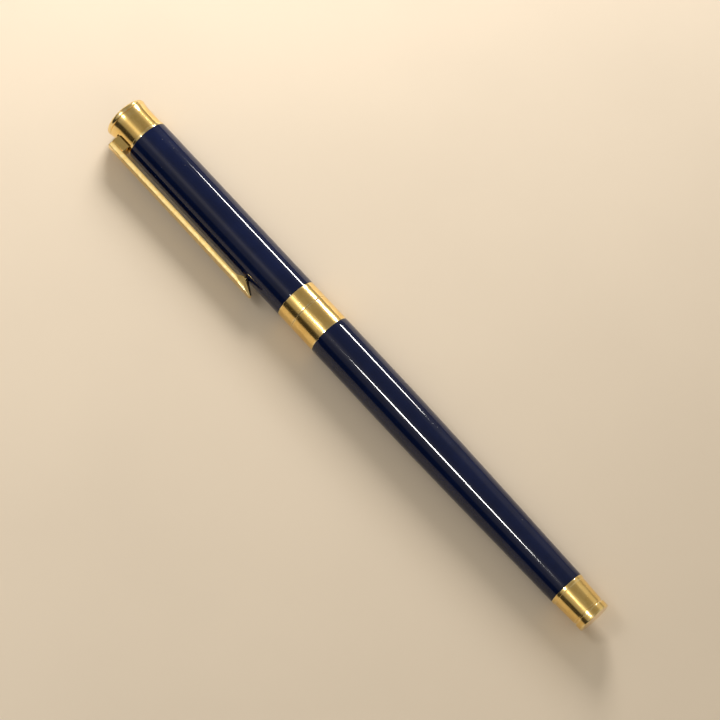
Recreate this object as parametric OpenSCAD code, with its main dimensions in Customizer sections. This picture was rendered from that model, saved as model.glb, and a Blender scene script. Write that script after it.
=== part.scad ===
// Capped rollerball pen with a side clip.
// The axis of the pen is X: the tail end is at x = 0 and the crown of the cap
// points along +X. The clip stands out along +Y and +Z is up. All sizes are in mm.
// The lengths are stacked from the tail, and the diameters are stacked outwards
// from the refill, so the pen always closes around the refill that it takes.

/* [Refill] */
// Diameter of the refill's ink tube
refill_d = 6.1; // [5:0.1:7.5]
// Length of the refill, rear end to the ball
refill_length = 110.5; // [90:0.5:135]
// Length of the slimmer front of the refill, shoulder to the ball
refill_front_length = 24; // [20:0.5:30]
// Diameter of the holder in front of the shoulder
refill_holder_d = 4.6; // [4.2:0.1:5.4]
// Diameter of the neck in front of the holder
refill_neck_d = 3.5; // [3:0.1:4]
// Length of the neck and the metal point together
refill_neck_length = 12.5; // [11:0.5:14.5]
// Length of the metal point that stands out of the neck
point_length = 7; // [6:0.2:8.6]
// Diameter of the metal point
point_d = 2.36; // [2:0.02:2.8]
// Length of the point's cone
point_cone_length = 2.8; // [2.2:0.1:3.4]
// Diameter of the writing ball
ball_d = 0.7; // [0.5:0.1:1]
// Wall of the ink tube
ink_wall = 0.35; // [0.25:0.05:0.5]
// How far the rear plug reaches into the ink tube
rear_plug_length = 5; // [3:0.5:7]
// How far the holder reaches back into the ink tube
holder_plug_length = 3; // [2:0.5:5]
// Diameter of the feed wick
wick_d = 1.1; // [0.8:0.1:1.3]

/* [Barrel] */
// Length of the lacquered barrel tube
barrel_tube_length = 67.9; // [55:0.1:82]
// Length of the barrel's parallel front end
barrel_straight_length = 15.9; // [12:0.1:20]
// Slope of the barrel's outline where it meets the finial
tail_slope = 0.0155; // [0:0.0005:0.03]
// Wall of the barrel tube
barrel_wall = 0.45; // [0.3:0.05:0.6]
// Radial room around the refill at the tail
tail_room = 0.35; // [0.2:0.05:0.6]
// Length of the gold ring at the barrel's mouth
barrel_ring_length = 6.15; // [4:0.05:8]
// How far the threaded bush reaches into the barrel tube
bush_depth = 7.9; // [6:0.1:10]
// Length of the connector's thread
thread_length = 8; // [6:0.1:10]
// Wall of the connector under its thread
thread_wall = 0.3; // [0.2:0.05:0.4]

/* [Tail] */
// Length of the gold finial, end button included
finial_length = 8; // [6.5:0.1:10]
// Length of the end button
button_length = 1.9; // [1.5:0.1:2.5]
// How much the finial's rear is smaller in radius than the barrel's tail
finial_step = 0.35; // [0.2:0.05:0.5]
// Radius of the finial's bore and of the plug's stud in it
stud_r = 2.8; // [2.7:0.05:3]
// How far the end plug reaches into the barrel tube
end_plug_length = 3; // [2:0.5:4]
// Radius of the end button's screw
button_screw_r = 1; // [0.7:0.1:1.3]
// Room between the finial and the refill's rear end
rear_room = 4; // [3.5:0.1:5.5]

/* [Refill spring] */
// Working length of the refill spring
spring_length = 4.4; // [3.6:0.1:5.3]
// Outside radius of the refill spring
spring_r = 2.2; // [1.9:0.05:2.4]
// Wire diameter of the refill spring
spring_wire = 0.4; // [0.3:0.05:0.5]
// Number of turns of the refill spring
spring_turns = 5; // [3:1:6]
// Thickness of the spring cup's flange
cup_flange = 0.8; // [0.6:0.1:1]
// Radius of the cup's spindle in the refill's rear plug
spindle_r = 1.1; // [0.9:0.05:1.4]
// Length of the cup's spindle
spindle_length = 1.5; // [1:0.1:2.5]

/* [Section] */
// Wall of the section around the refill
section_wall = 0.45; // [0.35:0.05:0.6]
// Length of the collar in front of the thread
collar_length = 3.35; // [2.8:0.05:4.2]
// Length of the grip's spigot in the collar
grip_spigot_length = 1.2; // [0.8:0.1:1.6]
// Wall of the grip's spigot
grip_spigot_wall = 0.23; // [0.15:0.01:0.3]
// Number of fine grooves around the grip
grip_grooves = 5; // [0:1:8]
// Spacing of the grip's grooves
groove_pitch = 1.6; // [1:0.1:2]
// Length of the gold nozzle
nozzle_length = 8.1; // [6.5:0.1:9.7]
// How far the metal point stands out of the nozzle
point_reach = 2.4; // [1.5:0.1:3.2]
// Wall of the nozzle's front rim
nozzle_rim = 0.3; // [0.2:0.05:0.45]

/* [Cap] */
// Length of the gold lip band
lip_band_length = 3.85; // [3.4:0.05:5]
// Thickness of the band's mouth in front of the clutch ring
lip_wall = 0.6; // [0.4:0.05:0.8]
// Width of the clutch ring
clutch_width = 2.1; // [1.6:0.05:2.4]
// Thickness of the clutch ring
clutch_wall = 0.32; // [0.25:0.01:0.36]
// Gap in the split clutch ring, in degrees
clutch_split = 30; // [15:1:60]
// Wall of the cap's liner
liner_wall = 0.35; // [0.35:0.01:0.5]
// Wall of the lacquered cap tube
cap_wall = 0.53; // [0.4:0.01:0.7]
// Free room in the cap in front of the ball
tip_room = 4.4; // [4:0.1:6]
// Thickness of the liner's closed end
liner_end = 0.6; // [0.4:0.1:1]
// How far the head plug reaches into the cap tube
head_plug_length = 2.9; // [2.4:0.1:4]

/* [Crown] */
// Length of the crown sleeve
crown_sleeve_length = 5.9; // [5.6:0.05:7.1]
// Thickness of the crown's top flange
flange_length = 1.2; // [1:0.05:1.6]
// How far the flange stands out beyond the cap tube
flange_proud = 0.09; // [0:0.01:0.3]
// How far the waist of the crown is sunk below the cap tube
crown_sink = 0.15; // [0:0.01:0.3]
// Width of the bead at the crown's seam
crown_bead = 0.6; // [0.4:0.05:0.8]
// Wall of the crown sleeve at its waist
crown_wall = 1.05; // [0.8:0.05:1.3]
// Radius of the head plug's threaded neck
neck_r = 1.6; // [1.3:0.1:2]
// Depth of the recess for the inlaid disc
inlay_depth = 0.35; // [0.2:0.05:0.4]
// Width of the flange around the inlaid disc
inlay_rim = 1.3; // [0.9:0.05:1.6]

/* [Clip] */
// Distance from the tail-side face of the lug to the clip's tip
clip_reach = 39.4; // [30:0.1:42]
// Length of the lug along the pen
lug_length = 3.2; // [2.6:0.1:3.2]
// Width of the lug
lug_width = 2.9; // [2.4:0.1:3.2]
// Width of the clip bar
bar_width = 2.6; // [2:0.1:3]
// Thickness of the clip bar
bar_thickness = 1; // [0.8:0.05:1.2]
// Gap between the cap and the bar
bar_gap = 1.25; // [1:0.05:1.6]
// Length of the clip's slanting end, foot to tip
foot_slant = 2.9; // [2:0.1:3.4]
// Length of the foot's ramp
foot_ramp = 2.4; // [2:0.1:3.5]
// Rounding of the foot and of the tip
foot_round = 0.35; // [0.2:0.05:0.45]
// Distance of the pivot from the axis of the pen
pivot_y = 2.2; // [2:0.05:2.3]
// Radius of the pivot pin
pivot_r = 0.5; // [0.4:0.05:0.6]
// Distance from the pivot to the end of the lug's inner arm
arm_reach = 4.1; // [3.6:0.1:4.2]
// Widest opening of the clip that the window allows, in degrees
clip_lift = 5.5; // [3:0.5:6]
// Outside radius of the clip spring
clip_spring_r = 0.95; // [0.8:0.05:1]
// Wire diameter of the clip spring
clip_spring_wire = 0.3; // [0.2:0.05:0.35]
// Number of turns of the clip spring
clip_spring_turns = 5; // [3:1:6]
// Working length of the clip spring
clip_spring_length = 3.1; // [2.8:0.1:3.4]

/* [Clearances] */
// Radial gap between the refill and what it slides in
refill_gap = 0.1; // [0.05:0.01:0.2]
// Radial gap between the section and the cap's liner
cap_gap = 0.1; // [0.06:0.01:0.2]
// Radial gap of the clutch ring on the collar
clutch_gap = 0.06; // [0.02:0.01:0.1]
// Radial gap between the threads of connector and bush
thread_gap = 0.07; // [0.03:0.01:0.1]
// Gap of a glued or pressed seat, so that the pieces only just touch
seat_gap = 0.02; // [0.01:0.01:0.05]
// Radial gap of the turning pins and the ball
pin_gap = 0.04; // [0.02:0.01:0.08]
// Gap between the clip's foot and the cap
foot_gap = 0.06; // [0.03:0.01:0.2]
// Gap beside the lug in its slot and window
slot_gap = 0.15; // [0.1:0.01:0.25]
// Chamfer on the edges of the gold rings
edge = 0.12; // [0.05:0.01:0.2]

/* [Hidden] */
$fn = 96;

NAVY = [0.10, 0.12, 0.24];
GOLD = [0.83, 0.66, 0.30];
BRASS = [0.72, 0.60, 0.33];
STEEL = [0.75, 0.76, 0.78];
BLACK = [0.08, 0.08, 0.09];
WHITE = [0.88, 0.88, 0.85];
FIBRE = [0.20, 0.22, 0.42];

// Radii, from the refill outwards
refill_r = refill_d / 2;
holder_r = refill_holder_d / 2;
tip_neck_r = refill_neck_d / 2;
point_r = point_d / 2;
ball_r = ball_d / 2;
ink_r = refill_r - ink_wall;
wick_r = wick_d / 2;
section_bore_r = refill_r + refill_gap;
thread_r = section_bore_r + thread_wall;
section_r = section_bore_r + section_wall;
liner_r = section_r + cap_gap;
liner_outer_r = liner_r + liner_wall;
cap_bore_r = liner_outer_r + seat_gap;
body_r = cap_bore_r + cap_wall;
tail_r = refill_r + tail_room + barrel_wall;
holder_bore_r = holder_r + refill_gap;
neck_bore_r = tip_neck_r + refill_gap;
nozzle_bore_r = point_r + refill_gap;
nozzle_base_r = holder_bore_r + section_wall;
crown_r = body_r - crown_sink;
crown_bore_r = crown_r - crown_wall;
flange_r = body_r + flange_proud;
inlay_r = flange_r - inlay_rim;

// Stations along the pen, from the tail
x_finial = finial_length;
x_rear = x_finial + rear_room;
x_ring = x_finial + barrel_tube_length;
x_part = x_ring + barrel_ring_length;
x_collar = x_part + collar_length;
x_lip = x_part + lip_band_length;
x_tip = x_rear + refill_length;
x_shoulder = x_tip - refill_front_length;
x_neck = x_tip - refill_neck_length;
x_point = x_tip - point_length;
x_nozzle_end = x_tip - point_reach;
x_nozzle = x_nozzle_end - nozzle_length;
x_liner = x_part + lip_wall + clutch_width + 2 * seat_gap;
x_liner_end = x_tip + tip_room + liner_end;
x_crown = x_liner_end + head_plug_length;
x_flange = x_crown + crown_sleeve_length;
x_top = x_flange + flange_length;

// The spring's seat in the end plug, and the screw in front of the button
x_seat = x_rear - cup_flange - spring_length;
screw_floor = 1.3;
screw_length = x_seat - button_length - screw_floor;
spring_room = 0.15;

// The metal point's root in the neck, and the nozzle's step in front of the neck
point_root_length = 1.5;
point_root_r = point_r - 0.2;
point_step = 0.3;

// The lug's place in the crown: bead, a small land, then the window
window_land = 0.05;
x_window = x_crown + crown_bead + window_land;
x_lug = x_window + slot_gap;
x_lug_end = x_lug + lug_length;
x_pivot = x_lug + lug_length / 2;
lug_seat_y = body_r + bar_gap;
lug_swing = (crown_r - pivot_y) * sin(clip_lift) + slot_gap;
x_window_end = x_lug_end + lug_swing;
x_slot = x_window - slot_gap;
x_slot_end = x_window_end + slot_gap;
hub_r = 1.2;
heel_y = pivot_y + 0.55;
arm_thickness = 1.8;
x_arm = x_pivot - hub_r;
arm_end_y = pivot_y - arm_reach;
arm_room = 0.3;
spring_overhang = 0.2;
clip_spring_y = arm_end_y + clip_spring_r - spring_overhang;
clip_spring_room = 0.12;
slot_web = 0.5;
x_cheeks_end = x_slot_end + slot_web;
neck_cover = 0.5;
x_neck_end = x_top - inlay_depth - neck_cover;

// The pivot pin is driven in from below, and its upper end stops inside the crown's wall
pin_sunk = 0.15;
pin_under_z = sqrt(crown_r * crown_r - pivot_y * pivot_y) - pin_sunk;
pin_over_z = sqrt(crown_bore_r * crown_bore_r - pivot_y * pivot_y);

// The clip's tip and foot
x_clip_tip = x_lug - clip_reach;
foot_y = body_r + foot_gap;
bar_top_y = lug_seat_y + bar_thickness;

// Slope beside a turned bead, and how far a cutter runs past what it cuts
crease = 0.05;
over = 1;

// Smooth step from 0 to 1 with level ends
function ease(u) = u * u * (3 - 2 * u);

// Outline of the barrel: tail slope at the rear, level where the parallel front begins
x_straight = x_ring - barrel_straight_length;
taper_length = x_straight - x_finial;
function barrel_r(x) = x >= x_straight ? body_r :
    let (u = (x - x_finial) / taper_length)
    tail_r + (body_r - tail_r) * ease(u) + tail_slope * taper_length * u * (1 - u) * (1 - u);
taper_steps = 18;
taper_x = [for (i = [0:taper_steps]) x_finial + taper_length * i / taper_steps];

// Turns an outline of [radius, x] points, or any children drawn that way, about the pen's axis
module turned(outline) {
    rotate([0, 90, 0]) rotate_extrude() polygon(outline);
}
module turned_shape(angle = 360) {
    rotate([0, 90, 0]) rotate_extrude(angle = angle) children();
}

// A tube or a disc between two stations
module tube(x0, x1, outer, inner = 0) {
    turned([[inner, x0], [outer, x0], [outer, x1], [inner, x1]]);
}

// A ring with chamfered outer edges
module ring(x0, x1, outer, inner) {
    turned([
        [inner, x0], [outer - edge, x0], [outer, x0 + edge],
        [outer, x1 - edge], [outer - edge, x1], [inner, x1]
    ]);
}

// A bore along the pen, for cutting
module bore(x0, x1, r) {
    translate([x0, 0, 0]) rotate([0, 90, 0]) cylinder(h = x1 - x0, r = r);
}

// A coil of wire that runs along X from 0 to its length, with its wire's ends capped
module coil(length, outer_r, wire_d, turns, steps = 18, sides = 6) {
    wire_r = wire_d / 2;
    mean_r = outer_r - wire_r;
    rise = length - wire_d;
    n = turns * steps;
    points = [
        for (i = [0:n]) for (j = [0:sides - 1])
            let (turn = 360 * i / steps, side = 360 * j / sides, r = mean_r + wire_r * cos(side))
            [wire_r + rise * i / n + wire_r * sin(side), r * cos(turn), r * sin(turn)]
    ];
    walls = [
        for (i = [0:n - 1]) for (j = [0:sides - 1])
            let (k = (j + 1) % sides, a = i * sides, b = a + sides)
            [a + j, b + j, b + k, a + k]
    ];
    first = [for (j = [0:sides - 1]) j];
    last = [for (j = [sides - 1:-1:0]) n * sides + j];
    polyhedron(points, concat(walls, [first, last]));
}

// ---- Section ----

module grip_shell() {
    taper_start = x_shoulder - 2;
    groove_r = 0.3;
    groove_depth = 0.15;
    steps = 12;
    outline = [
        for (i = [0:steps])
            let (u = i / steps)
            [section_r + (nozzle_base_r - section_r) * ease(u), taper_start + (x_nozzle - taper_start) * u]
    ];
    spigot_r = section_bore_r + grip_spigot_wall;
    groove_middle = (x_shoulder + x_nozzle) / 2;
    color(BLACK) difference() {
        turned(concat(
            [[section_bore_r, x_collar - grip_spigot_length], [spigot_r, x_collar - grip_spigot_length],
             [spigot_r, x_collar], [section_r, x_collar]],
            outline,
            [[holder_bore_r, x_nozzle], [holder_bore_r, x_shoulder], [section_bore_r, x_shoulder]]
        ));
        for (i = [0:1:grip_grooves - 1])
            let (x = groove_middle + (i - (grip_grooves - 1) / 2) * groove_pitch,
                 u = (x - taper_start) / (x_nozzle - taper_start),
                 r = section_r + (nozzle_base_r - section_r) * ease(u))
            turned_shape() translate([r + groove_r - groove_depth, x]) circle(r = groove_r, $fn = 32);
    }
}

module thread_collar() {
    socket_r = section_bore_r + grip_spigot_wall + seat_gap;
    color(GOLD) turned([
        [section_bore_r, x_part - thread_length], [thread_r - edge, x_part - thread_length],
        [thread_r, x_part - thread_length + edge], [thread_r, x_part],
        [section_r, x_part], [section_r, x_collar],
        [socket_r, x_collar], [socket_r, x_collar - grip_spigot_length],
        [section_bore_r, x_collar - grip_spigot_length]
    ]);
}

// The nozzle's outline lies halfway between a straight cone and an ellipse
module nozzle() {
    spigot_gap = 0.2;
    spigot_r = holder_bore_r - seat_gap;
    rim_r = nozzle_bore_r + nozzle_rim;
    step_x = x_point + point_step;
    steps = 8;
    outline = [
        for (i = [0:steps])
            let (u = i / steps, bulge = (sqrt(1 - u * u) + 1 - u) / 2)
            [rim_r + (nozzle_base_r - rim_r) * bulge, x_nozzle + nozzle_length * u]
    ];
    color(GOLD) turned(concat(
        [[neck_bore_r, x_neck + spigot_gap], [spigot_r, x_neck + spigot_gap], [spigot_r, x_nozzle]],
        outline,
        [[nozzle_bore_r, x_nozzle_end], [nozzle_bore_r, step_x], [neck_bore_r, step_x]]
    ));
}

// ---- Refill ----

module refill_tube() {
    color(WHITE) tube(x_rear + cup_flange, x_shoulder, refill_r, ink_r);
}

module refill_holder() {
    color(BLACK) difference() {
        union() {
            tube(x_shoulder - holder_plug_length, x_shoulder, ink_r - seat_gap);
            tube(x_shoulder, x_neck, holder_r);
            tube(x_neck, x_point, tip_neck_r);
        }
        bore(x_shoulder - holder_plug_length - over, x_point + over, wick_r + pin_gap);
        bore(x_point - point_root_length, x_point + over, point_root_r);
    }
}

// The socket's rim starts behind the ball's middle, and its lip closes in over the ball
module refill_point() {
    channel_r = 0.15;
    rim_wall = 0.06;
    lip_edge = 0.01;
    x_root = x_point - point_root_length;
    x_cone = x_tip - point_cone_length;
    x_rim = x_tip - 1.4 * ball_r;
    x_lip_end = x_tip - 0.8 * ball_r;
    root_r = point_root_r - seat_gap;
    color(STEEL) difference() {
        turned([
            [0, x_root], [root_r, x_root], [root_r, x_point], [point_r, x_point], [point_r, x_cone],
            [ball_r + rim_wall, x_rim], [ball_r + lip_edge, x_lip_end], [0, x_lip_end]
        ]);
        bore(x_root - over, x_cone, wick_r + pin_gap);
        bore(x_cone - over, x_tip, channel_r);
        translate([x_tip - ball_r, 0, 0]) sphere(r = ball_r + pin_gap / 2, $fn = 48);
    }
}

module refill_ball() {
    color(STEEL) translate([x_tip - ball_r, 0, 0]) sphere(r = ball_r, $fn = 48);
}

module refill_rear_plug() {
    socket_room = 0.2;
    color(BLACK) difference() {
        union() {
            tube(x_rear, x_rear + cup_flange, refill_r);
            tube(x_rear + cup_flange, x_rear + cup_flange + rear_plug_length, ink_r - seat_gap);
        }
        bore(x_rear - over, x_rear + spindle_length + socket_room, spindle_r + pin_gap);
    }
}

module ink_reservoir() {
    color(FIBRE) tube(
        x_rear + cup_flange + rear_plug_length, x_shoulder - holder_plug_length, ink_r - seat_gap
    );
}

module ink_wick() {
    wick_room = 0.4;
    color(WHITE) tube(x_shoulder - holder_plug_length, x_tip - point_cone_length - wick_room, wick_r);
}

module spring_cup() {
    pilot_length = 1;
    pilot_r = spring_r - spring_wire - spring_room;
    flange_room = 0.15;
    cup_r = refill_r - flange_room;
    x_cup = x_rear - cup_flange;
    x_spindle_end = x_rear + spindle_length;
    color(BLACK) turned([
        [0, x_cup - pilot_length], [pilot_r, x_cup - pilot_length], [pilot_r, x_cup], [cup_r, x_cup],
        [cup_r, x_rear], [spindle_r, x_rear], [spindle_r, x_spindle_end], [0, x_spindle_end]
    ]);
}

module refill_spring() {
    color(STEEL) translate([x_seat + seat_gap, 0, 0])
        coil(spring_length - 2 * seat_gap, spring_r, spring_wire, spring_turns);
}

// ---- Barrel ----

module barrel_tube() {
    outer = [for (x = taper_x) [barrel_r(x), x]];
    inner = [for (i = [taper_steps:-1:0]) [barrel_r(taper_x[i]) - barrel_wall, taper_x[i]]];
    color(NAVY) turned(concat(outer, [[body_r, x_ring], [body_r - barrel_wall, x_ring]], inner));
}

module barrel_ring() {
    color(GOLD) ring(x_ring, x_part, body_r, body_r - barrel_wall);
}

module barrel_bush() {
    color(BRASS) tube(x_ring - bush_depth, x_part, body_r - barrel_wall - seat_gap, thread_r + thread_gap);
}

module barrel_end_plug() {
    color(BRASS) difference() {
        union() {
            tube(x_finial, x_finial + end_plug_length, tail_r - barrel_wall - seat_gap);
            tube(button_length, x_finial, stud_r - seat_gap);
        }
        bore(x_seat, x_finial + end_plug_length + over, spring_r + spring_room);
        bore(button_length - over, button_length + screw_length, button_screw_r + seat_gap);
    }
}

module tail_finial() {
    bead = 0.8;
    bead_rise = 0.15;
    waist_r = tail_r - bead_rise;
    rear_r = tail_r - finial_step;
    x_bead = x_finial - bead;
    color(GOLD) turned([
        [stud_r, button_length], [rear_r - edge, button_length], [rear_r, button_length + edge],
        [waist_r, x_bead], [tail_r - edge, x_bead + crease], [tail_r, x_bead + crease + edge],
        [tail_r, x_finial - edge], [tail_r - edge, x_finial], [stud_r, x_finial]
    ]);
}

module tail_button() {
    groove = 0.3;
    groove_depth = 0.25;
    button_proud = 0.08;
    screw_gap = 0.1;
    rim_r = tail_r - finial_step + button_proud;
    groove_r = rim_r - groove_depth;
    x_groove = button_length - groove;
    x_screw_end = button_length + screw_length - screw_gap;
    color(GOLD) turned([
        [0, 0], [rim_r - 2 * edge, 0], [rim_r, 2 * edge], [rim_r, x_groove - edge], [rim_r - edge, x_groove],
        [groove_r, x_groove], [groove_r, button_length], [button_screw_r, button_length],
        [button_screw_r, x_screw_end], [0, x_screw_end]
    ]);
}

// ---- Cap ----

module clutch_ring() {
    inner = section_r + clutch_gap;
    x0 = x_part + lip_wall + seat_gap;
    color(STEEL) rotate([clutch_split / 2 - 90, 0, 0]) turned_shape(360 - clutch_split)
        translate([inner, x0]) square([clutch_wall, clutch_width]);
}

module cap_lip_band() {
    color(GOLD) difference() {
        ring(x_part, x_lip, body_r, liner_r);
        bore(x_part + lip_wall, x_lip + over, liner_outer_r + seat_gap);
    }
}

module cap_liner() {
    color(BLACK) difference() {
        tube(x_liner, x_liner_end, liner_outer_r);
        bore(x_liner - over, x_liner_end - liner_end, liner_r);
    }
}

module cap_tube() {
    color(NAVY) tube(x_lip, x_crown, body_r, cap_bore_r);
}

// The slot leaves two cheeks, which a web joins at the front, under the neck
module head_plug() {
    slot_width = lug_width + 2 * slot_gap;
    slot_floor_y = arm_end_y - arm_room;
    color(BRASS) difference() {
        union() {
            tube(x_liner_end, x_crown, cap_bore_r - seat_gap);
            tube(x_crown, x_cheeks_end, crown_bore_r - seat_gap);
            tube(x_cheeks_end, x_neck_end, neck_r);
        }
        translate([x_slot, slot_floor_y, -slot_width / 2])
            cube([x_slot_end - x_slot, body_r - slot_floor_y, slot_width]);
        translate([x_arm - clip_spring_length, clip_spring_y, 0]) rotate([0, 90, 0])
            cylinder(h = clip_spring_length, r = clip_spring_r + clip_spring_room, $fn = 48);
        translate([x_pivot, pivot_y, -body_r]) cylinder(h = 2 * body_r, r = pivot_r + seat_gap / 2, $fn = 32);
    }
}

module crown_sleeve() {
    window_width = lug_width + 2 * slot_gap;
    cove = 1.6;
    cove_start = x_flange - cove;
    cove_steps = 5;
    cove_outline = [
        for (i = [0:cove_steps])
            let (u = i / cove_steps)
            [crown_r + (body_r - crown_r) * (1 - cos(90 * u)), cove_start + cove * u]
    ];
    color(GOLD) difference() {
        turned(concat(
            [[crown_bore_r, x_crown], [body_r - edge, x_crown], [body_r, x_crown + edge],
             [body_r, x_crown + crown_bead - edge], [body_r - edge, x_crown + crown_bead],
             [crown_r, x_crown + crown_bead + crease]],
            cove_outline,
            [[crown_bore_r, x_flange]]
        ));
        translate([x_window, 0, -window_width / 2])
            cube([x_window_end - x_window, body_r + over, window_width]);
        translate([x_pivot, pivot_y, -body_r])
            cylinder(h = body_r + pin_over_z + seat_gap, r = pivot_r + seat_gap / 2, $fn = 32);
    }
}

module crown_cap() {
    round_r = flange_length / 2;
    spigot_gap = 0.1;
    color(GOLD) difference() {
        union() {
            turned_shape() {
                translate([0, x_flange]) square([flange_r - round_r, flange_length]);
                translate([flange_r - round_r, x_flange + round_r]) circle(r = round_r, $fn = 32);
            }
            tube(x_cheeks_end + spigot_gap, x_flange, crown_bore_r - seat_gap);
        }
        bore(x_cheeks_end - over, x_neck_end + spigot_gap, neck_r + seat_gap);
        bore(x_top - inlay_depth, x_top + over, inlay_r);
    }
}

module crown_inlay() {
    sunk = 0.04;
    color(NAVY) tube(x_top - inlay_depth, x_top - sunk, inlay_r - seat_gap);
}

module clip_pivot_pin() {
    color(STEEL) translate([x_pivot, pivot_y, -pin_under_z])
        cylinder(h = pin_under_z + pin_over_z, r = pivot_r, $fn = 32);
}

module clip_spring() {
    color(STEEL) translate([x_arm - clip_spring_length + seat_gap, clip_spring_y, 0])
        coil(clip_spring_length - 2 * seat_gap, clip_spring_r, clip_spring_wire, clip_spring_turns);
}

// ---- Clip ----

module clip_lug() {
    color(GOLD) difference() {
        translate([0, 0, -lug_width / 2]) linear_extrude(lug_width) {
            translate([x_lug, heel_y]) square([lug_length, lug_seat_y - heel_y]);
            translate([x_pivot, pivot_y]) circle(r = hub_r, $fn = 48);
            translate([x_arm, arm_end_y]) square([arm_thickness, arm_reach]);
        }
        translate([x_pivot, pivot_y, -lug_width])
            cylinder(h = 2 * lug_width, r = pivot_r + pin_gap, $fn = 32);
    }
}

module clip_bar() {
    half = bar_width / 2;
    nose = [x_clip_tip + foot_slant, foot_y + foot_round];
    tip = [x_clip_tip + foot_round, bar_top_y - foot_round];
    slant = atan2(tip[1] - nose[1], tip[0] - nose[0]);
    normal = foot_round * [-sin(slant), cos(slant)];
    ramp_start = nose[0] + foot_round / 2;
    ramp_steps = 6;
    ramp = [
        for (i = [0:ramp_steps])
            let (u = i / ramp_steps)
            [ramp_start + foot_ramp * u, foot_y + (lug_seat_y - foot_y) * ease(u)]
    ];
    color(GOLD) intersection() {
        translate([0, 0, -half]) linear_extrude(bar_width) {
            polygon(concat(
                ramp,
                [[x_lug_end, lug_seat_y], [x_lug_end, bar_top_y], [tip[0], bar_top_y],
                 tip + normal, nose + normal, [nose[0], foot_y]]
            ));
            translate(nose) circle(r = foot_round, $fn = 32);
            translate(tip) circle(r = foot_round, $fn = 32);
        }
        // Seen square to its slant, the end of the bar is a half circle
        translate([nose[0], nose[1], 0]) rotate([0, 0, slant]) {
            translate([-bar_width, foot_round - half, 0]) rotate([0, 90, 0])
                cylinder(h = 3 * bar_width, r = half, $fn = 64);
            translate([-2 * clip_reach, foot_round - half - 2 * clip_reach, -half])
                cube([3 * clip_reach, 2 * clip_reach, bar_width]);
        }
    }
}

grip_shell();
thread_collar();
nozzle();
refill_tube();
refill_holder();
refill_point();
refill_rear_plug();
ink_reservoir();
ink_wick();
refill_ball();
spring_cup();
refill_spring();
barrel_tube();
barrel_ring();
barrel_bush();
barrel_end_plug();
tail_finial();
tail_button();
clutch_ring();
cap_lip_band();
cap_liner();
cap_tube();
head_plug();
crown_sleeve();
crown_cap();
crown_inlay();
clip_pivot_pin();
clip_spring();
clip_lug();
clip_bar();
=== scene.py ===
"""Looks of a slim capped rollerball pen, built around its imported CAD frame.

The pen's axis is X, from the tail at 0 to the crown of the cap. +Y points to the clip and +Z is up. The
classes hold their sizes in millimetres, and every mesh is made in metres, at the place where the CAD frame
has its node.
"""

import logging
import math
from collections.abc import Callable, Sequence
from dataclasses import dataclass, field
from enum import Enum
from functools import cache

import bmesh
import bpy
import numpy as np
from mathutils import Matrix, Vector


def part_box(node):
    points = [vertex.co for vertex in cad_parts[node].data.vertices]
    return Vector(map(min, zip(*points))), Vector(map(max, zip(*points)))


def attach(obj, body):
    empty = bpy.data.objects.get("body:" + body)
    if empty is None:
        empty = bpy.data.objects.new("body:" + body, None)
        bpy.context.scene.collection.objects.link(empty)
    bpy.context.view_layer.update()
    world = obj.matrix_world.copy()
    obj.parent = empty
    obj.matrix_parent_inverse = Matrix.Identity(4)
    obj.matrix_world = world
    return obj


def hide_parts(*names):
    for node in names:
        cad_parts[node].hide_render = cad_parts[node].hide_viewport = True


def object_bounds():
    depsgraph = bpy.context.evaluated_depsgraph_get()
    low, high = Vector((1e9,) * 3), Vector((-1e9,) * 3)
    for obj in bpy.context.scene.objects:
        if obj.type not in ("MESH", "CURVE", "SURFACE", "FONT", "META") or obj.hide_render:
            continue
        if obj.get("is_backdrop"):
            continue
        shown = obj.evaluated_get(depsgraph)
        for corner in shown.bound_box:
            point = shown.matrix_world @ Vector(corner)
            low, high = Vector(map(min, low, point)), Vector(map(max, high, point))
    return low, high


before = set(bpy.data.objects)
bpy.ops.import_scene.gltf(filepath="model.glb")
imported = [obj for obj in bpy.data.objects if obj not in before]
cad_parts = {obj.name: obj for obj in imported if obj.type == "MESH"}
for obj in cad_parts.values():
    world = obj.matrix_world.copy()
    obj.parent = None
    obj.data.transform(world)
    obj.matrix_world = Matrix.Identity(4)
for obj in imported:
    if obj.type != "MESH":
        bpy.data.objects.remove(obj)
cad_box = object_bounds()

log = logging.getLogger("pen")

MM = 0.001
FULL_TURN = 2 * math.pi
MERGE_M = 2e-7
COPY_MERGE_M = 1e-6
CREASE_DEG = 32.0
FLAT_DEG = 2.0
SHARP_DEG = 50.0
FINE, MEDIUM, COARSE = 192, 144, 96

Colour = tuple[float, float, float]
Row = tuple[float, float, float]
Relief = Callable[[np.ndarray, np.ndarray], np.ndarray]


# ---- The CAD frame ----


class Body(Enum):
    """The CAD bodies that the pieces ride on."""

    SECTION = "section"
    CLUTCH = "clutch"
    CAP = "cap"
    CLIP = "clip"
    REFILL = "refill"
    CUP = "cup"
    SPRING = "spring"
    BARREL = "barrel"


@dataclass(frozen=True)
class NodeBox:
    """Where a CAD node is: its lowest and highest corner in mm."""

    lo: tuple[float, float, float]
    hi: tuple[float, float, float]

    @property
    def x0(self) -> float:
        """The end nearer to the tail."""
        return self.lo[0]

    @property
    def x1(self) -> float:
        """The end nearer to the crown."""
        return self.hi[0]

    @property
    def r(self) -> float:
        """The radius of a turned node."""
        return self.hi[2]

    @property
    def centre(self) -> tuple[float, float, float]:
        """The middle of the box."""
        return tuple((a + b) / 2 for a, b in zip(self.lo, self.hi))


@cache
def node_box(node: str) -> NodeBox:
    """Reads a CAD node's box from the frame.

    Args:
        node: the CAD node's name.

    Returns:
        Its box in mm.
    """
    lo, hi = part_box(node)
    return NodeBox(tuple(v / MM for v in lo), tuple(v / MM for v in hi))


# ---- Shapes ----


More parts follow.
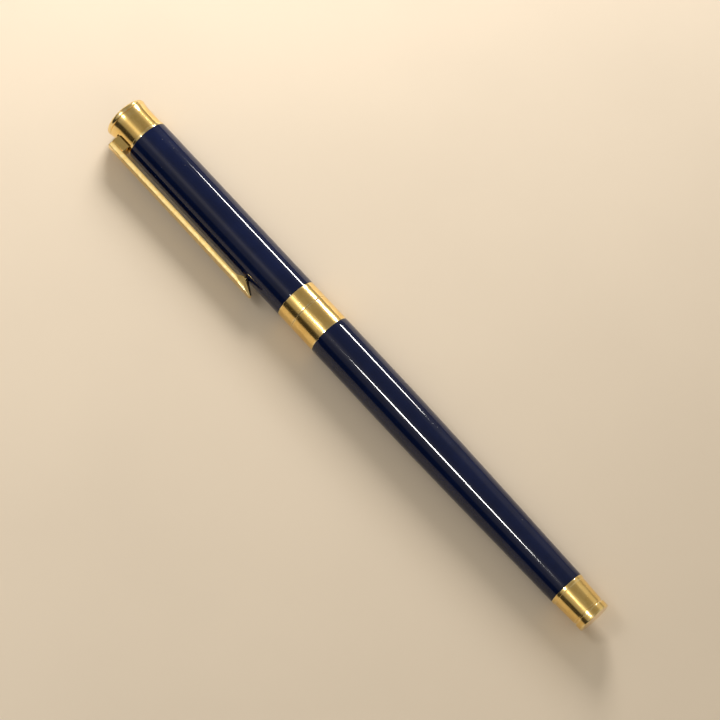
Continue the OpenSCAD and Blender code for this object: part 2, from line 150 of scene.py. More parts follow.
@dataclass(frozen=True)
class Corner:
    """A corner of a turned outline: its station, its radius, and how far it is rounded, in mm."""

    x: float
    r: float
    rounding: float = 0.0


@dataclass(frozen=True)
class Outline:
    """A turned outline's points, with how exposed each is to wear. A closed one rings a bore."""

    points: np.ndarray
    wear: np.ndarray
    closed: bool


def rounded_outline(
    corners: Sequence[Corner], closed: bool = True, steps: int = 5, guard: float = 0.22
) -> Outline:
    """Rounds the corners of an outline.

    A rounded corner becomes an arc that touches both of its sides: its centre lies on the corner's bisector,
    at the rounding divided by the sine of half the corner's angle. Wear is 1 on an arc and falls to 0 a
    guard's length away.

    Args:
        corners: the corners in order.
        closed: whether the last corner joins the first.
        steps: the number of pieces of an arc.
        guard: how far from an arc its wear ends, in mm.

    Returns:
        The outline.
    """
    places = np.array([[c.x, c.r] for c in corners])
    points, wear = [], []
    for i, corner in enumerate(corners):
        here = places[i]
        if corner.rounding <= 0:
            points.append(here[None])
            wear.append([0.0])
            continue
        before, after = places[i - 1] - here, places[(i + 1) % len(places)] - here
        lengths = np.linalg.norm(before), np.linalg.norm(after)
        before, after = before / lengths[0], after / lengths[1]
        half = math.acos(np.clip(before @ after, -1, 1)) / 2
        reach = min(corner.rounding / math.tan(half), 0.48 * min(lengths))
        bisector = (before + after) / np.linalg.norm(before + after)
        middle = here + bisector * reach / math.cos(half)
        first, last = here + before * reach - middle, here + after * reach - middle
        swing = math.pi - 2 * half
        k = np.linspace(0, 1, steps + 1)[:, None]
        arc = middle + (np.sin((1 - k) * swing) * first + np.sin(k * swing) * last) / math.sin(swing)
        near, far = (min(reach + guard, 0.5 * length) for length in lengths)
        points.append(np.vstack([here + before * near, arc, here + after * far]))
        wear.append([0.0] + [1.0] * (steps + 1) + [0.0])
    return Outline(np.vstack(points), np.concatenate(wear), closed)


def rounded(rows: Sequence[Row], closed: bool = True, steps: int = 5) -> Outline:
    """Rounds an outline whose corners are rows of station, radius and rounding."""
    return rounded_outline([Corner(*row) for row in rows], closed, steps)


def smooth_outline(x: np.ndarray, r: np.ndarray, bore: np.ndarray) -> Outline:
    """Makes a closed outline from an outer and an inner curve over the same stations.

    Args:
        x: the stations, from tail to crown.
        r: the outer radius at each station.
        bore: the inner radius at each station.

    Returns:
        The outline, out along the outer curve and back along the inner one.
    """
    points = np.vstack([np.stack([x, r], -1), np.stack([x, bore], -1)[::-1]])
    return Outline(points, np.zeros(len(points)), True)


def grid_quads(rows: int, columns: int, wrap_rows: bool, wrap_columns: bool) -> np.ndarray:
    """Joins the points of a grid into four-cornered faces.

    Args:
        rows: points along the first parameter.
        columns: points along the second parameter.
        wrap_rows: whether the last row joins the first.
        wrap_columns: whether the last column joins the first.

    Returns:
        An array of four indices a face.
    """
    i = np.arange(rows if wrap_rows else rows - 1)[:, None]
    j = np.arange(columns if wrap_columns else columns - 1)[None, :]
    i1, j1 = (i + 1) % rows, (j + 1) % columns
    corners = i * columns + j, i1 * columns + j, i1 * columns + j1, i * columns + j1
    return np.stack(np.broadcast_arrays(*corners), -1).reshape(-1, 4)


def add_object(name: str, data: bpy.types.ID) -> bpy.types.Object:
    """Makes an object and links it to the scene."""
    made = bpy.data.objects.new(name, data)
    bpy.context.scene.collection.objects.link(made)
    return made


def make_mesh(
    name: str,
    points: np.ndarray,
    quads: np.ndarray,
    wear: np.ndarray,
    ends: Sequence[np.ndarray] = (),
    crease_deg: float = CREASE_DEG,
) -> bpy.types.Object:
    """Makes an object from a grid's points and faces, with its place in its mesh.

    Args:
        name: the object's name.
        points: the points in mm.
        quads: the four-cornered faces.
        wear: how exposed each point is to wear, kept as the attribute "edge".
        ends: closing faces of any number of corners.
        crease_deg: an edge sharper than this stays sharp when shaded.

    Returns:
        The object.
    """
    loops = np.concatenate([quads.ravel(), *[np.asarray(e) for e in ends]]).astype(np.int32)
    counts = np.concatenate([np.full(len(quads), 4), [len(e) for e in ends]]).astype(np.int32)
    mesh = bpy.data.meshes.new(name)
    mesh.vertices.add(len(points))
    mesh.vertices.foreach_set("co", (points * MM).astype(np.float32).ravel())
    mesh.loops.add(len(loops))
    mesh.loops.foreach_set("vertex_index", loops)
    mesh.polygons.add(len(counts))
    starts = np.concatenate([[0], np.cumsum(counts)[:-1]]).astype(np.int32)
    mesh.polygons.foreach_set("loop_start", starts)
    mesh.update(calc_edges=True)
    mesh.attributes.new("edge", "FLOAT", "POINT").data.foreach_set("value", wear.astype(np.float32))
    shell = bmesh.new()
    shell.from_mesh(mesh)
    bmesh.ops.remove_doubles(shell, verts=shell.verts, dist=MERGE_M)
    bmesh.ops.delete(shell, geom=[e for e in shell.edges if e.is_wire], context="EDGES")
    bmesh.ops.recalc_face_normals(shell, faces=shell.faces)
    shell.to_mesh(mesh)
    shell.free()
    mesh.shade_smooth()
    mesh.set_sharp_from_angle(angle=math.radians(crease_deg))
    return add_object(name, mesh)


def turned(
    name: str,
    outline: Outline,
    segments: int = MEDIUM,
    start: float = 0.0,
    sweep: float = FULL_TURN,
    relief: Relief | None = None,
) -> bpy.types.Object:
    """Turns an outline about the pen's axis.

    A point at station x and radius r goes to (x, r sin a, r cos a) for each angle a. A relief adds to r.

    Args:
        name: the object's name.
        outline: the outline in mm.
        segments: the number of steps around.
        start: the first angle, from +Z towards +Y.
        sweep: how far it turns; less than a full turn leaves a gap with closed ends.
        relief: what to add to the radius, as a function of the grids of point numbers and angles.

    Returns:
        The object.
    """
    whole = abs(sweep - FULL_TURN) < 1e-9
    angles = start + np.linspace(0, sweep, segments, endpoint=not whole)
    count = len(outline.points)
    x = np.repeat(outline.points[:, :1], len(angles), 1)
    r = np.repeat(outline.points[:, 1:], len(angles), 1)
    a = np.repeat(angles[None, :], count, 0)
    if relief is not None:
        r = r + relief(np.repeat(np.arange(count)[:, None], len(angles), 1), a)
    points = np.stack([x, r * np.sin(a), r * np.cos(a)], -1).reshape(-1, 3)
    quads = grid_quads(count, len(angles), outline.closed, whole)
    rows = np.arange(count) * len(angles)
    ends = [] if whole else [rows, rows[::-1] + len(angles) - 1]
    return make_mesh(name, points, quads, np.repeat(outline.wear, len(angles)), ends)


def coil(
    name: str, x0: float, x1: float, r: float, wire: float, turns: int, y: float = 0.0
) -> bpy.types.Object:
    """Winds a round wire about a line parallel to the pen's axis.

    The wire's middle rises evenly with its angle, and its section is a circle that closes to a point at each
    end.

    Args:
        name: the object's name.
        x0: the coil's end nearer to the tail, in mm.
        x1: its other end.
        r: its outside radius.
        wire: the wire's diameter.
        turns: the number of turns.
        y: the height of its middle line along Y.

    Returns:
        The object.
    """
    steps_per_turn, sides, tip = 40, 16, [0, 0.55, 0.85]
    u = np.concatenate([np.zeros(len(tip)), np.linspace(0, 1, steps_per_turn * turns + 1), np.ones(len(tip))])
    shrink = np.ones(len(u))
    shrink[: len(tip)] = tip
    shrink[-len(tip) :] = tip[::-1]
    side = np.linspace(0, FULL_TURN, sides, endpoint=False)[None, :]
    turn = FULL_TURN * turns * u[:, None]
    half = wire / 2
    out = r - half + half * shrink[:, None] * np.cos(side)
    x = x0 + half + (x1 - x0 - wire) * u[:, None] + half * shrink[:, None] * np.sin(side)
    points = np.stack([x, y + out * np.cos(turn), out * np.sin(turn)], -1).reshape(-1, 3)
    quads = grid_quads(len(u), sides, False, True)
    return make_mesh(name, points, quads, np.zeros(len(points)))


def rounded_rectangle(
    height: np.ndarray, width: np.ndarray, rounding: float, steps: int = 4
) -> tuple[np.ndarray, np.ndarray, np.ndarray]:
    """The outline of rounded rectangles, one for each station.

    Each corner is a quarter circle whose radius is the rounding, or less where the rectangle is too small
    for it.

    Args:
        height: the full height at each station.
        width: the full width at each station.
        rounding: the radius of the corners.
        steps: the number of pieces of a corner.

    Returns:
        The heights, the widths and the wear of the outline's points, as grids of station by point.
    """
    radius = np.minimum(rounding, np.minimum(height, width) / 2)[:, None]
    quarter = np.linspace(0, math.pi / 2, steps + 1)
    angle = np.concatenate([quarter + k * math.pi / 2 for k in range(4)])[None, :]
    up = np.repeat([1, -1, -1, 1], steps + 1)[None, :]
    across = np.repeat([1, 1, -1, -1], steps + 1)[None, :]
    a = up * (height[:, None] / 2 - radius) + radius * np.cos(angle)
    b = across * (width[:, None] / 2 - radius) + radius * np.sin(angle)
    wear = np.ones(a.shape)
    wear[:, :: steps + 1] = 0.4
    return a, b, wear


# ---- Shader graphs ----


class Graph:
    """A node tree with short ways to add, feed and join its nodes."""

    def __init__(self, tree: bpy.types.NodeTree) -> None:
        """Takes the tree to fill."""
        self.tree = tree

    def add(
        self, kind: str, inputs: dict[str | int, object] | None = None, **settings: object
    ) -> bpy.types.Node:
        """Adds a node.

        Args:
            kind: the node's type name.
            inputs: a value or another node's output for each input, by name or number.
            settings: the node's own properties.

        Returns:
            The node.
        """
        node = self.tree.nodes.new(kind)
        for key, value in settings.items():
            setattr(node, key, value)
        for key, value in (inputs or {}).items():
            self.feed(node.inputs[key], value)
        return node

    def feed(self, socket: bpy.types.NodeSocket, value: object) -> None:
        """Links an output to an input, or sets the input's own value."""
        if isinstance(value, bpy.types.NodeSocket):
            self.tree.links.new(value, socket)
        else:
            socket.default_value = value

    def maths(self, operation: str, a: object, b: object = 0.0, c: object = 0.0) -> bpy.types.NodeSocket:
        """Adds a Math node and returns its result."""
        return self.add("ShaderNodeMath", {0: a, 1: b, 2: c}, operation=operation).outputs[0]

    def clamp_range(self, value: object, low: float, high: float) -> bpy.types.NodeSocket:
        """Maps a value from a range to 0 to 1 smoothly, held at the ends."""
        inputs = {"Value": value, "From Min": low, "From Max": high}
        return self.add("ShaderNodeMapRange", inputs, interpolation_type="SMOOTHSTEP").outputs["Result"]

    def blend(self, factor: object, a: object, b: object) -> bpy.types.NodeSocket:
        """Mixes two colours by a factor and returns the result."""
        node = self.add("ShaderNodeMix", data_type="RGBA")
        self.feed(node.inputs[0], factor)
        self.feed(node.inputs[6], a)
        self.feed(node.inputs[7], b)
        return node.outputs[2]

    def noise(
        self, vector: object, scale: object, detail: float = 3.0, rough: float = 0.5
    ) -> bpy.types.NodeSocket:
        """Adds a Noise Texture and returns its value."""
        inputs = {"Vector": vector, "Scale": scale, "Detail": detail, "Roughness": rough}
        return self.add("ShaderNodeTexNoise", inputs).outputs[0]


class GroupSocket(Enum):
    """The kinds of socket that a shared effect has."""

    VALUE = "NodeSocketFloat"
    VECTOR = "NodeSocketVector"


@dataclass(frozen=True)
class Port:
    """A named input or output of a shared effect, with its starting value."""

    name: str
    kind: GroupSocket = GroupSocket.VALUE
    start: float = 0.0


def new_group(name: str, inputs: Sequence[Port], outputs: Sequence[Port]) -> tuple[Graph, dict, dict]:
    """Makes an empty node group with named sockets.

    Args:
        name: the group's name.
        inputs: its inputs.
        outputs: its outputs.

    Returns:
        The group's graph, the sockets that give its inputs, and the sockets that take its outputs.
    """
    tree = bpy.data.node_groups.new(name, "ShaderNodeTree")
    for port in inputs:
        socket = tree.interface.new_socket(port.name, in_out="INPUT", socket_type=port.kind.value)
        if port.kind is GroupSocket.VALUE:
            socket.default_value = port.start
    for port in outputs:
        tree.interface.new_socket(port.name, in_out="OUTPUT", socket_type=port.kind.value)
    graph = Graph(tree)
    given, taken = graph.add("NodeGroupInput"), graph.add("NodeGroupOutput")
    return graph, dict(given.outputs.items()), dict(taken.inputs.items())


class Effects:
    """The effects that several finishes share, each a node group that is built once."""

    @staticmethod
    @cache
    def hairlines() -> bpy.types.NodeTree:
        """Fine scratches: noise that is stretched along a line and cut thin, in two directions that cross.

        Returns:
            The group, with the inputs Vector, Scale, Amount and the output Mask.
        """
        ports = [Port("Vector", GroupSocket.VECTOR), Port("Scale", start=900.0), Port("Amount", start=0.5)]
        graph, given, taken = new_group("hairlines", ports, [Port("Mask")])
        lines = []
        for turn, stretch in (((0.25, 0.4, 0.55), (0.05, 1, 1)), ((-0.5, 0.15, -0.9), (0.06, 1, 1))):
            inputs = {"Vector": given["Vector"], "Rotation": turn, "Scale": stretch}
            laid = graph.add("ShaderNodeMapping", inputs)
            value = graph.noise(laid.outputs[0], given["Scale"], 2.0)
            lines.append(graph.clamp_range(value, 0.62, 0.72))
        both = graph.maths("MAXIMUM", lines[0], lines[1])
        graph.feed(taken["Mask"], graph.maths("MULTIPLY", both, given["Amount"]))
        return graph.tree

    @staticmethod
    @cache
    def specks() -> bpy.types.NodeTree:
        """Dust and tiny pits: a dot in the middle of some cells of a pattern, picked by the cell's colour.

        Returns:
            The group, with the inputs Vector, Scale, Size, Amount and the output Mask.
        """
        sizes = [Port("Scale", start=1500.0), Port("Size", start=0.16), Port("Amount", start=0.5)]
        ports = [Port("Vector", GroupSocket.VECTOR), *sizes]
        graph, given, taken = new_group("specks", ports, [Port("Mask")])
        cells = graph.add("ShaderNodeTexVoronoi", {"Vector": given["Vector"], "Scale": given["Scale"]})
        dot = graph.maths("SUBTRACT", 1.0, graph.maths("DIVIDE", cells.outputs["Distance"], given["Size"]))
        dot = graph.clamp_range(dot, 0.0, 0.5)
        pick = graph.add("ShaderNodeSeparateColor", {0: cells.outputs["Color"]}).outputs[0]
        chosen = graph.maths("LESS_THAN", pick, given["Amount"])
        graph.feed(taken["Mask"], graph.maths("MULTIPLY", dot, chosen))
        return graph.tree

    @staticmethod
    @cache
    def edge_wear() -> bpy.types.NodeTree:
        """Wear along edges: the mesh's own edge value, broken up by noise.

        Returns:
            The group, with the inputs Edge, Vector, Amount and the output Mask.
        """
        ports = [Port("Edge"), Port("Vector", GroupSocket.VECTOR), Port("Amount", start=0.5)]
        graph, given, taken = new_group("edge_wear", ports, [Port("Mask")])
        broken = graph.clamp_range(graph.noise(given["Vector"], 1400.0), 0.35, 0.65)
        worn = graph.maths("MULTIPLY", given["Edge"], graph.maths("MULTIPLY_ADD", broken, 0.7, 0.3))
        graph.feed(taken["Mask"], graph.maths("MULTIPLY", worn, given["Amount"]))
        return graph.tree

    @staticmethod
    @cache
    def smudges() -> bpy.types.NodeTree:
        """Faint uneven haze from handling: broad noise over finer noise.

        Returns:
            The group, with the inputs Vector, Scale, Amount and the output Mask.
        """
        ports = [Port("Vector", GroupSocket.VECTOR), Port("Scale", start=120.0), Port("Amount", start=0.5)]
        graph, given, taken = new_group("smudges", ports, [Port("Mask")])
        broad = graph.noise(given["Vector"], given["Scale"], 2.0)
        fine = graph.noise(given["Vector"], graph.maths("MULTIPLY", given["Scale"], 6.0), 4.0)
        both = graph.maths("MULTIPLY_ADD", fine, 0.4, graph.maths("MULTIPLY", broad, 0.6))
        haze = graph.clamp_range(both, 0.38, 0.66)
        graph.feed(taken["Mask"], graph.maths("MULTIPLY", haze, given["Amount"]))
        return graph.tree

    @staticmethod
    @cache
    def turning_marks() -> bpy.types.NodeTree:
        """Marks that a lathe tool leaves: noise that changes quickly along the pen and hardly around it.

        Returns:
            The group, with the inputs Vector, Pitch, Amount and the output Height.
        """
        ports = [Port("Vector", GroupSocket.VECTOR), Port("Pitch", start=9000.0), Port("Amount", start=1.0)]
        graph, given, taken = new_group("turning_marks", ports, [Port("Height")])
        laid = graph.add("ShaderNodeMapping", {"Vector": given["Vector"], "Scale": (1, 0.015, 0.015)})
        value = graph.noise(laid.outputs[0], given["Pitch"], 1.0)
        graph.feed(taken["Height"], graph.maths("MULTIPLY", value, given["Amount"]))
        return graph.tree


class Surface:
    """The nodes of one material: a Principled shader, the piece's own coordinates, and the shared effects."""

    def __init__(self, name: str) -> None:
        """Starts a material with its shader."""
        self.material = bpy.data.materials.new(name)
        self.material.use_nodes = True
        self.graph = Graph(self.material.node_tree)
        self.shader = self.material.node_tree.nodes["Principled BSDF"]
        self.place = self.graph.add("ShaderNodeTexCoord").outputs["Object"]
        self.edge = self.graph.add("ShaderNodeAttribute", attribute_name="edge").outputs["Fac"]

    def effect(self, group: bpy.types.NodeTree, **inputs: float) -> bpy.types.NodeSocket:
        """Places a shared effect.

        Args:
            group: the effect's node group.
            inputs: its values in this material.

        Returns:
            The effect's output.
        """
        node = self.graph.add("ShaderNodeGroup", node_tree=group)
        for name, value in inputs.items():
            node.inputs[name].default_value = value
        self.graph.feed(node.inputs["Vector"], self.place)
        if "Edge" in node.inputs:
            self.graph.feed(node.inputs["Edge"], self.edge)
        return node.outputs[0]

    def bump(self, height: object, distance_mm: float, strength: float = 1.0) -> None:
        """Feeds a height to the shader's normal through a Bump node."""
        inputs = {"Height": height, "Distance": distance_mm * MM, "Strength": strength}
        self.graph.feed(self.shader.inputs["Normal"], self.graph.add("ShaderNodeBump", inputs).outputs[0])

    def set(self, **values: object) -> None:
        """Sets or links the shader's inputs, named with underscores for spaces."""
        for name, value in values.items():
            self.graph.feed(self.shader.inputs[name.replace("_", " ")], value)


def opaque(colour: Colour) -> tuple[float, float, float, float]:
    """A colour with a full alpha."""
    return (*colour, 1.0)


# ---- Finishes ----


@dataclass(frozen=True)
class Lacquer:
    """Polished lacquer: a deep colour under a clear glossy skin, with hairlines, dust and faint haze."""

    slot: str
    deep: Colour
    pale: Colour
    dust: Colour = (0.35, 0.34, 0.33)
    gloss: float = 0.05
    ior: float = 1.41

    def material(self) -> bpy.types.Material:
        """Builds the material: haze mixes the two tints, and haze and hairlines dull the gloss.

        Returns:
            The material.
        """
        surface = Surface(self.slot)
        graph = surface.graph
        haze = surface.effect(Effects.smudges(), Scale=90.0, Amount=1.0)
        lines = surface.effect(Effects.hairlines(), Scale=2600.0, Amount=0.35)
        dust = surface.effect(Effects.specks(), Scale=700.0, Size=0.07, Amount=0.12)
        worn = surface.effect(Effects.edge_wear(), Amount=0.35)
        colour = graph.blend(haze, opaque(self.deep), opaque(self.pale))
        colour = graph.blend(graph.maths("MULTIPLY", dust, 0.45), colour, opaque(self.dust))
        colour = graph.blend(graph.maths("MULTIPLY", worn, 0.25), colour, opaque(self.pale))
        rough = graph.maths("MULTIPLY_ADD", haze, 0.02, self.gloss)
        rough = graph.maths("MULTIPLY_ADD", lines, 0.16, rough)
        rough = graph.maths("MULTIPLY_ADD", dust, 0.5, rough)
        surface.set(Base_Color=colour, Roughness=rough, IOR=self.ior)
        skin = graph.noise(surface.place, 260.0, 2.0)
        height = graph.maths("MULTIPLY_ADD", lines, -0.25, skin)
        surface.bump(height, 0.0012, 0.3)
        return surface.material


@dataclass(frozen=True)
class Metal:
    """Metal: a colour that haze darkens and worn edges brighten, with hairlines and turning marks."""

    slot: str
    bright: Colour
    dull: Colour
    worn: Colour
    rough: float
    hairlines: float = 0.5
    turning: float = 0.3
    pits: float = 0.25
    bump_mm: float = 0.004

    def material(self) -> bpy.types.Material:
        """Builds the material.

        Returns:
            The material.
        """
        surface = Surface(self.slot)
        graph = surface.graph
        haze = surface.effect(Effects.smudges(), Scale=260.0, Amount=1.0)
        lines = surface.effect(Effects.hairlines(), Scale=3200.0, Amount=self.hairlines)
        pits = surface.effect(Effects.specks(), Scale=1900.0, Size=0.16, Amount=self.pits)
        worn = surface.effect(Effects.edge_wear(), Amount=0.8)
        marks = surface.effect(Effects.turning_marks(), Pitch=11000.0, Amount=self.turning)
        colour = graph.blend(haze, opaque(self.bright), opaque(self.dull))
        colour = graph.blend(graph.maths("MULTIPLY", pits, 0.35), colour, opaque(self.dull))
        colour = graph.blend(worn, colour, opaque(self.worn))
        rough = graph.maths("MULTIPLY_ADD", haze, 0.05, self.rough)
        rough = graph.maths("MULTIPLY_ADD", lines, 0.18, rough)
        rough = graph.maths("MULTIPLY_ADD", pits, 0.12, rough)
        surface.set(Base_Color=colour, Roughness=rough, Metallic=1.0)
        height = graph.maths("MULTIPLY_ADD", lines, -0.5, marks)
        height = graph.maths("MULTIPLY_ADD", pits, -0.8, height)
        surface.bump(height, self.bump_mm, 0.6)
        return surface.material


@dataclass(frozen=True)
class Plastic:
    """Moulded plastic: a fine grain from the mould, faint haze, and edges that handling has polished."""

    slot: str
    body: Colour
    tint: Colour
    rough: float
    grain: float = 0.5
    see_through: float = 0.0
    dust: Colour = (0.4, 0.39, 0.37)

    def material(self) -> bpy.types.Material:
        """Builds the material.

        Returns:
            The material.
        """
        surface = Surface(self.slot)
        graph = surface.graph
        haze = surface.effect(Effects.smudges(), Scale=220.0, Amount=1.0)
        dust = surface.effect(Effects.specks(), Scale=900.0, Size=0.1, Amount=0.15)
        worn = surface.effect(Effects.edge_wear(), Amount=0.6)
        colour = graph.blend(haze, opaque(self.body), opaque(self.tint))
        colour = graph.blend(graph.maths("MULTIPLY", dust, 0.3), colour, opaque(self.dust))
        rough = graph.maths("MULTIPLY_ADD", haze, 0.08, self.rough)
        rough = graph.maths("MULTIPLY_ADD", worn, -0.12, rough)
        surface.set(Base_Color=colour, Roughness=rough, Subsurface_Weight=self.see_through)
        surface.bump(graph.noise(surface.place, 5200.0, 2.0), 0.01, self.grain)
        return surface.material


@dataclass(frozen=True)
class Fibre:
    """Bonded ink fibre: long strands along the pen, soaked in ink."""

    slot: str
    wet: Colour
    dry: Colour

    def material(self) -> bpy.types.Material:
        """Builds the material from noise that is stretched along the pen.

        Returns:
            The material.
        """
        surface = Surface(self.slot)
        graph = surface.graph
        laid = graph.add("ShaderNodeMapping", {"Vector": surface.place, "Scale": (0.06, 1, 1)})
        strands = graph.noise(laid.outputs[0], 4200.0, 4.0, 0.6)
        soaked = surface.effect(Effects.smudges(), Scale=150.0, Amount=1.0)
        streaked = graph.maths("MULTIPLY", graph.clamp_range(strands, 0.4, 0.62), soaked)
        colour = graph.blend(streaked, opaque(self.wet), opaque(self.dry))
        surface.set(Base_Color=colour, Roughness=graph.maths("MULTIPLY_ADD", strands, 0.3, 0.55))
        surface.bump(strands, 0.03, 0.8)
        return surface.material


Finish = Lacquer | Metal | Plastic | Fibre


class Finishes:
    """The pen's finishes, named for what they are."""

    NAVY = Lacquer("navy_lacquer", deep=(0.0010, 0.0052, 0.0340), pale=(0.0020, 0.0072, 0.0440))
    GOLD = Metal("gold_plate", (0.93, 0.67, 0.255), (0.85, 0.585, 0.20), (1.0, 0.85, 0.48), rough=0.12)
    BRASS = Metal("raw_brass", (0.78, 0.57, 0.25), (0.52, 0.37, 0.16), (0.88, 0.70, 0.38), 0.3, turning=1.0)
    SPRING = Metal("spring_steel", (0.58, 0.58, 0.60), (0.40, 0.40, 0.42), (0.75, 0.75, 0.76), 0.24)
    STEEL = Metal("point_steel", (0.66, 0.65, 0.63), (0.50, 0.49, 0.47), (0.82, 0.81, 0.79), 0.2)
    BLACK = Plastic("black_plastic", (0.012, 0.012, 0.013), (0.022, 0.022, 0.024), 0.36)
    PALE = Plastic("refill_plastic", (0.62, 0.63, 0.62), (0.52, 0.53, 0.53), 0.3, see_through=0.15)
    INK = Fibre("ink_fibre", wet=(0.006, 0.007, 0.05), dry=(0.08, 0.09, 0.25))


@cache
def material_of(finish: Finish) -> bpy.types.Material:
    """Builds each finish's material once."""
    return finish.material()


def fit(piece: bpy.types.Object, body: Body, finish: Finish, *nodes: str) -> None:
    """Dresses a finished piece and sets it in the frame.

    Args:
        piece: the piece, with its place in its mesh.
        body: the CAD body that it rides on.
        finish: its finish.
        nodes: the CAD nodes that it stands for.
    """
    piece.data.materials.clear()
    piece.data.materials.append(material_of(finish))
    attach(piece, body.value)
    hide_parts(*nodes)
    faces = len(piece.data.polygons)
    log.info("%s: %d faces, rides on %s, %s", piece.name, faces, body.value, finish.slot)


def lathe(
    node: str,
    made: str,
    outline: Outline,
    segments: int,
    body: Body,
    finish: Finish,
    relief: Relief | None = None,
) -> None:
    """Turns an outline into the piece that stands for one CAD node, and sets it in the frame.

    Args:
        node: the CAD node.
        made: how it is made, which ends the piece's name.
        outline: the outline in mm.
        segments: the number of steps around.
        body: the CAD body that it rides on.
        finish: its finish.
        relief: what to add to the radius.
    """
    fit(turned(f"{node}_{made}", outline, segments, relief=relief), body, finish, node)


def dress_node(node: str, finish: Finish) -> None:
    """Gives a CAD node that keeps its own shape a finish.

    Args:
        node: the CAD node.
        finish: its finish.
    """
    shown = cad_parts[node]
    shown.data.materials.clear()
    shown.data.materials.append(material_of(finish))
    log.info("%s: keeps its CAD shape, %s", node, finish.slot)


def softened_copy(node: str, name: str, rounding: float) -> bpy.types.Object:
    """Copies a CAD node's mesh, merges its triangles and rounds its sharp edges a little.

    Args:
        node: the CAD node.
        name: the new piece's name.
        rounding: the width of the rounding in mm.

    Returns:
        The new piece.
    """
    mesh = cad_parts[node].data.copy()
    mesh.name = name
    shell = bmesh.new()
    shell.from_mesh(mesh)
    bmesh.ops.remove_doubles(shell, verts=shell.verts, dist=COPY_MERGE_M)
    flat = math.radians(FLAT_DEG)
    bmesh.ops.dissolve_limit(shell, angle_limit=flat, verts=shell.verts, edges=shell.edges)
    limit = math.radians(SHARP_DEG)
    sharp = [e for e in shell.edges if len(e.link_faces) == 2 and e.calc_face_angle(0.0) > limit]
    look = {"segments": 3, "profile": 0.5, "affect": "EDGES", "clamp_overlap": True}
    bmesh.ops.bevel(shell, geom=sharp, offset=rounding * MM, **look)
    shell.to_mesh(mesh)
    shell.free()
    mesh.shade_smooth()
    mesh.set_sharp_from_angle(angle=math.radians(CREASE_DEG))
    mesh.attributes.new("edge", "FLOAT", "POINT")
    return add_object(name, mesh)


# ---- The pen's pieces ----


@dataclass
class Thread:
    """A fine two-start thread that stands on a turned surface."""

    lead: float = 1.6
    starts: int = 2
    depth: float = 0.16
    per_ridge: int = 8
    run_out: float = 0.5

    def stations(self, x0: float, x1: float) -> np.ndarray:
        """Stations close enough together to carry the ridges.

        Args:
            x0: the thread's start in mm.
            x1: its end.

        Returns:
            The stations.
        """
        ridges = (x1 - x0) / (self.lead / self.starts)
        return np.linspace(x0, x1, max(2, round(ridges * self.per_ridge)))

    def cut(self, x: np.ndarray, angle: np.ndarray, x0: float, x1: float) -> np.ndarray:
        """How deep the groove is at each point.

        The groove's depth is half of one less the cosine of the phase, which is the number of ridges passed,
        and it fades to nothing over the run-out at each end.

        Args:
            x: the stations.
            angle: the angles.
            x0: the thread's start.
            x1: its end.

        Returns:
            The depth at each point in mm.
        """
        phase = self.starts * (FULL_TURN * x / self.lead - angle)
        fade = np.clip(np.minimum(x - x0, x1 - x) / self.run_out, 0, 1)
        return self.depth * (0.5 - 0.5 * np.cos(phase)) * fade * fade * (3 - 2 * fade)


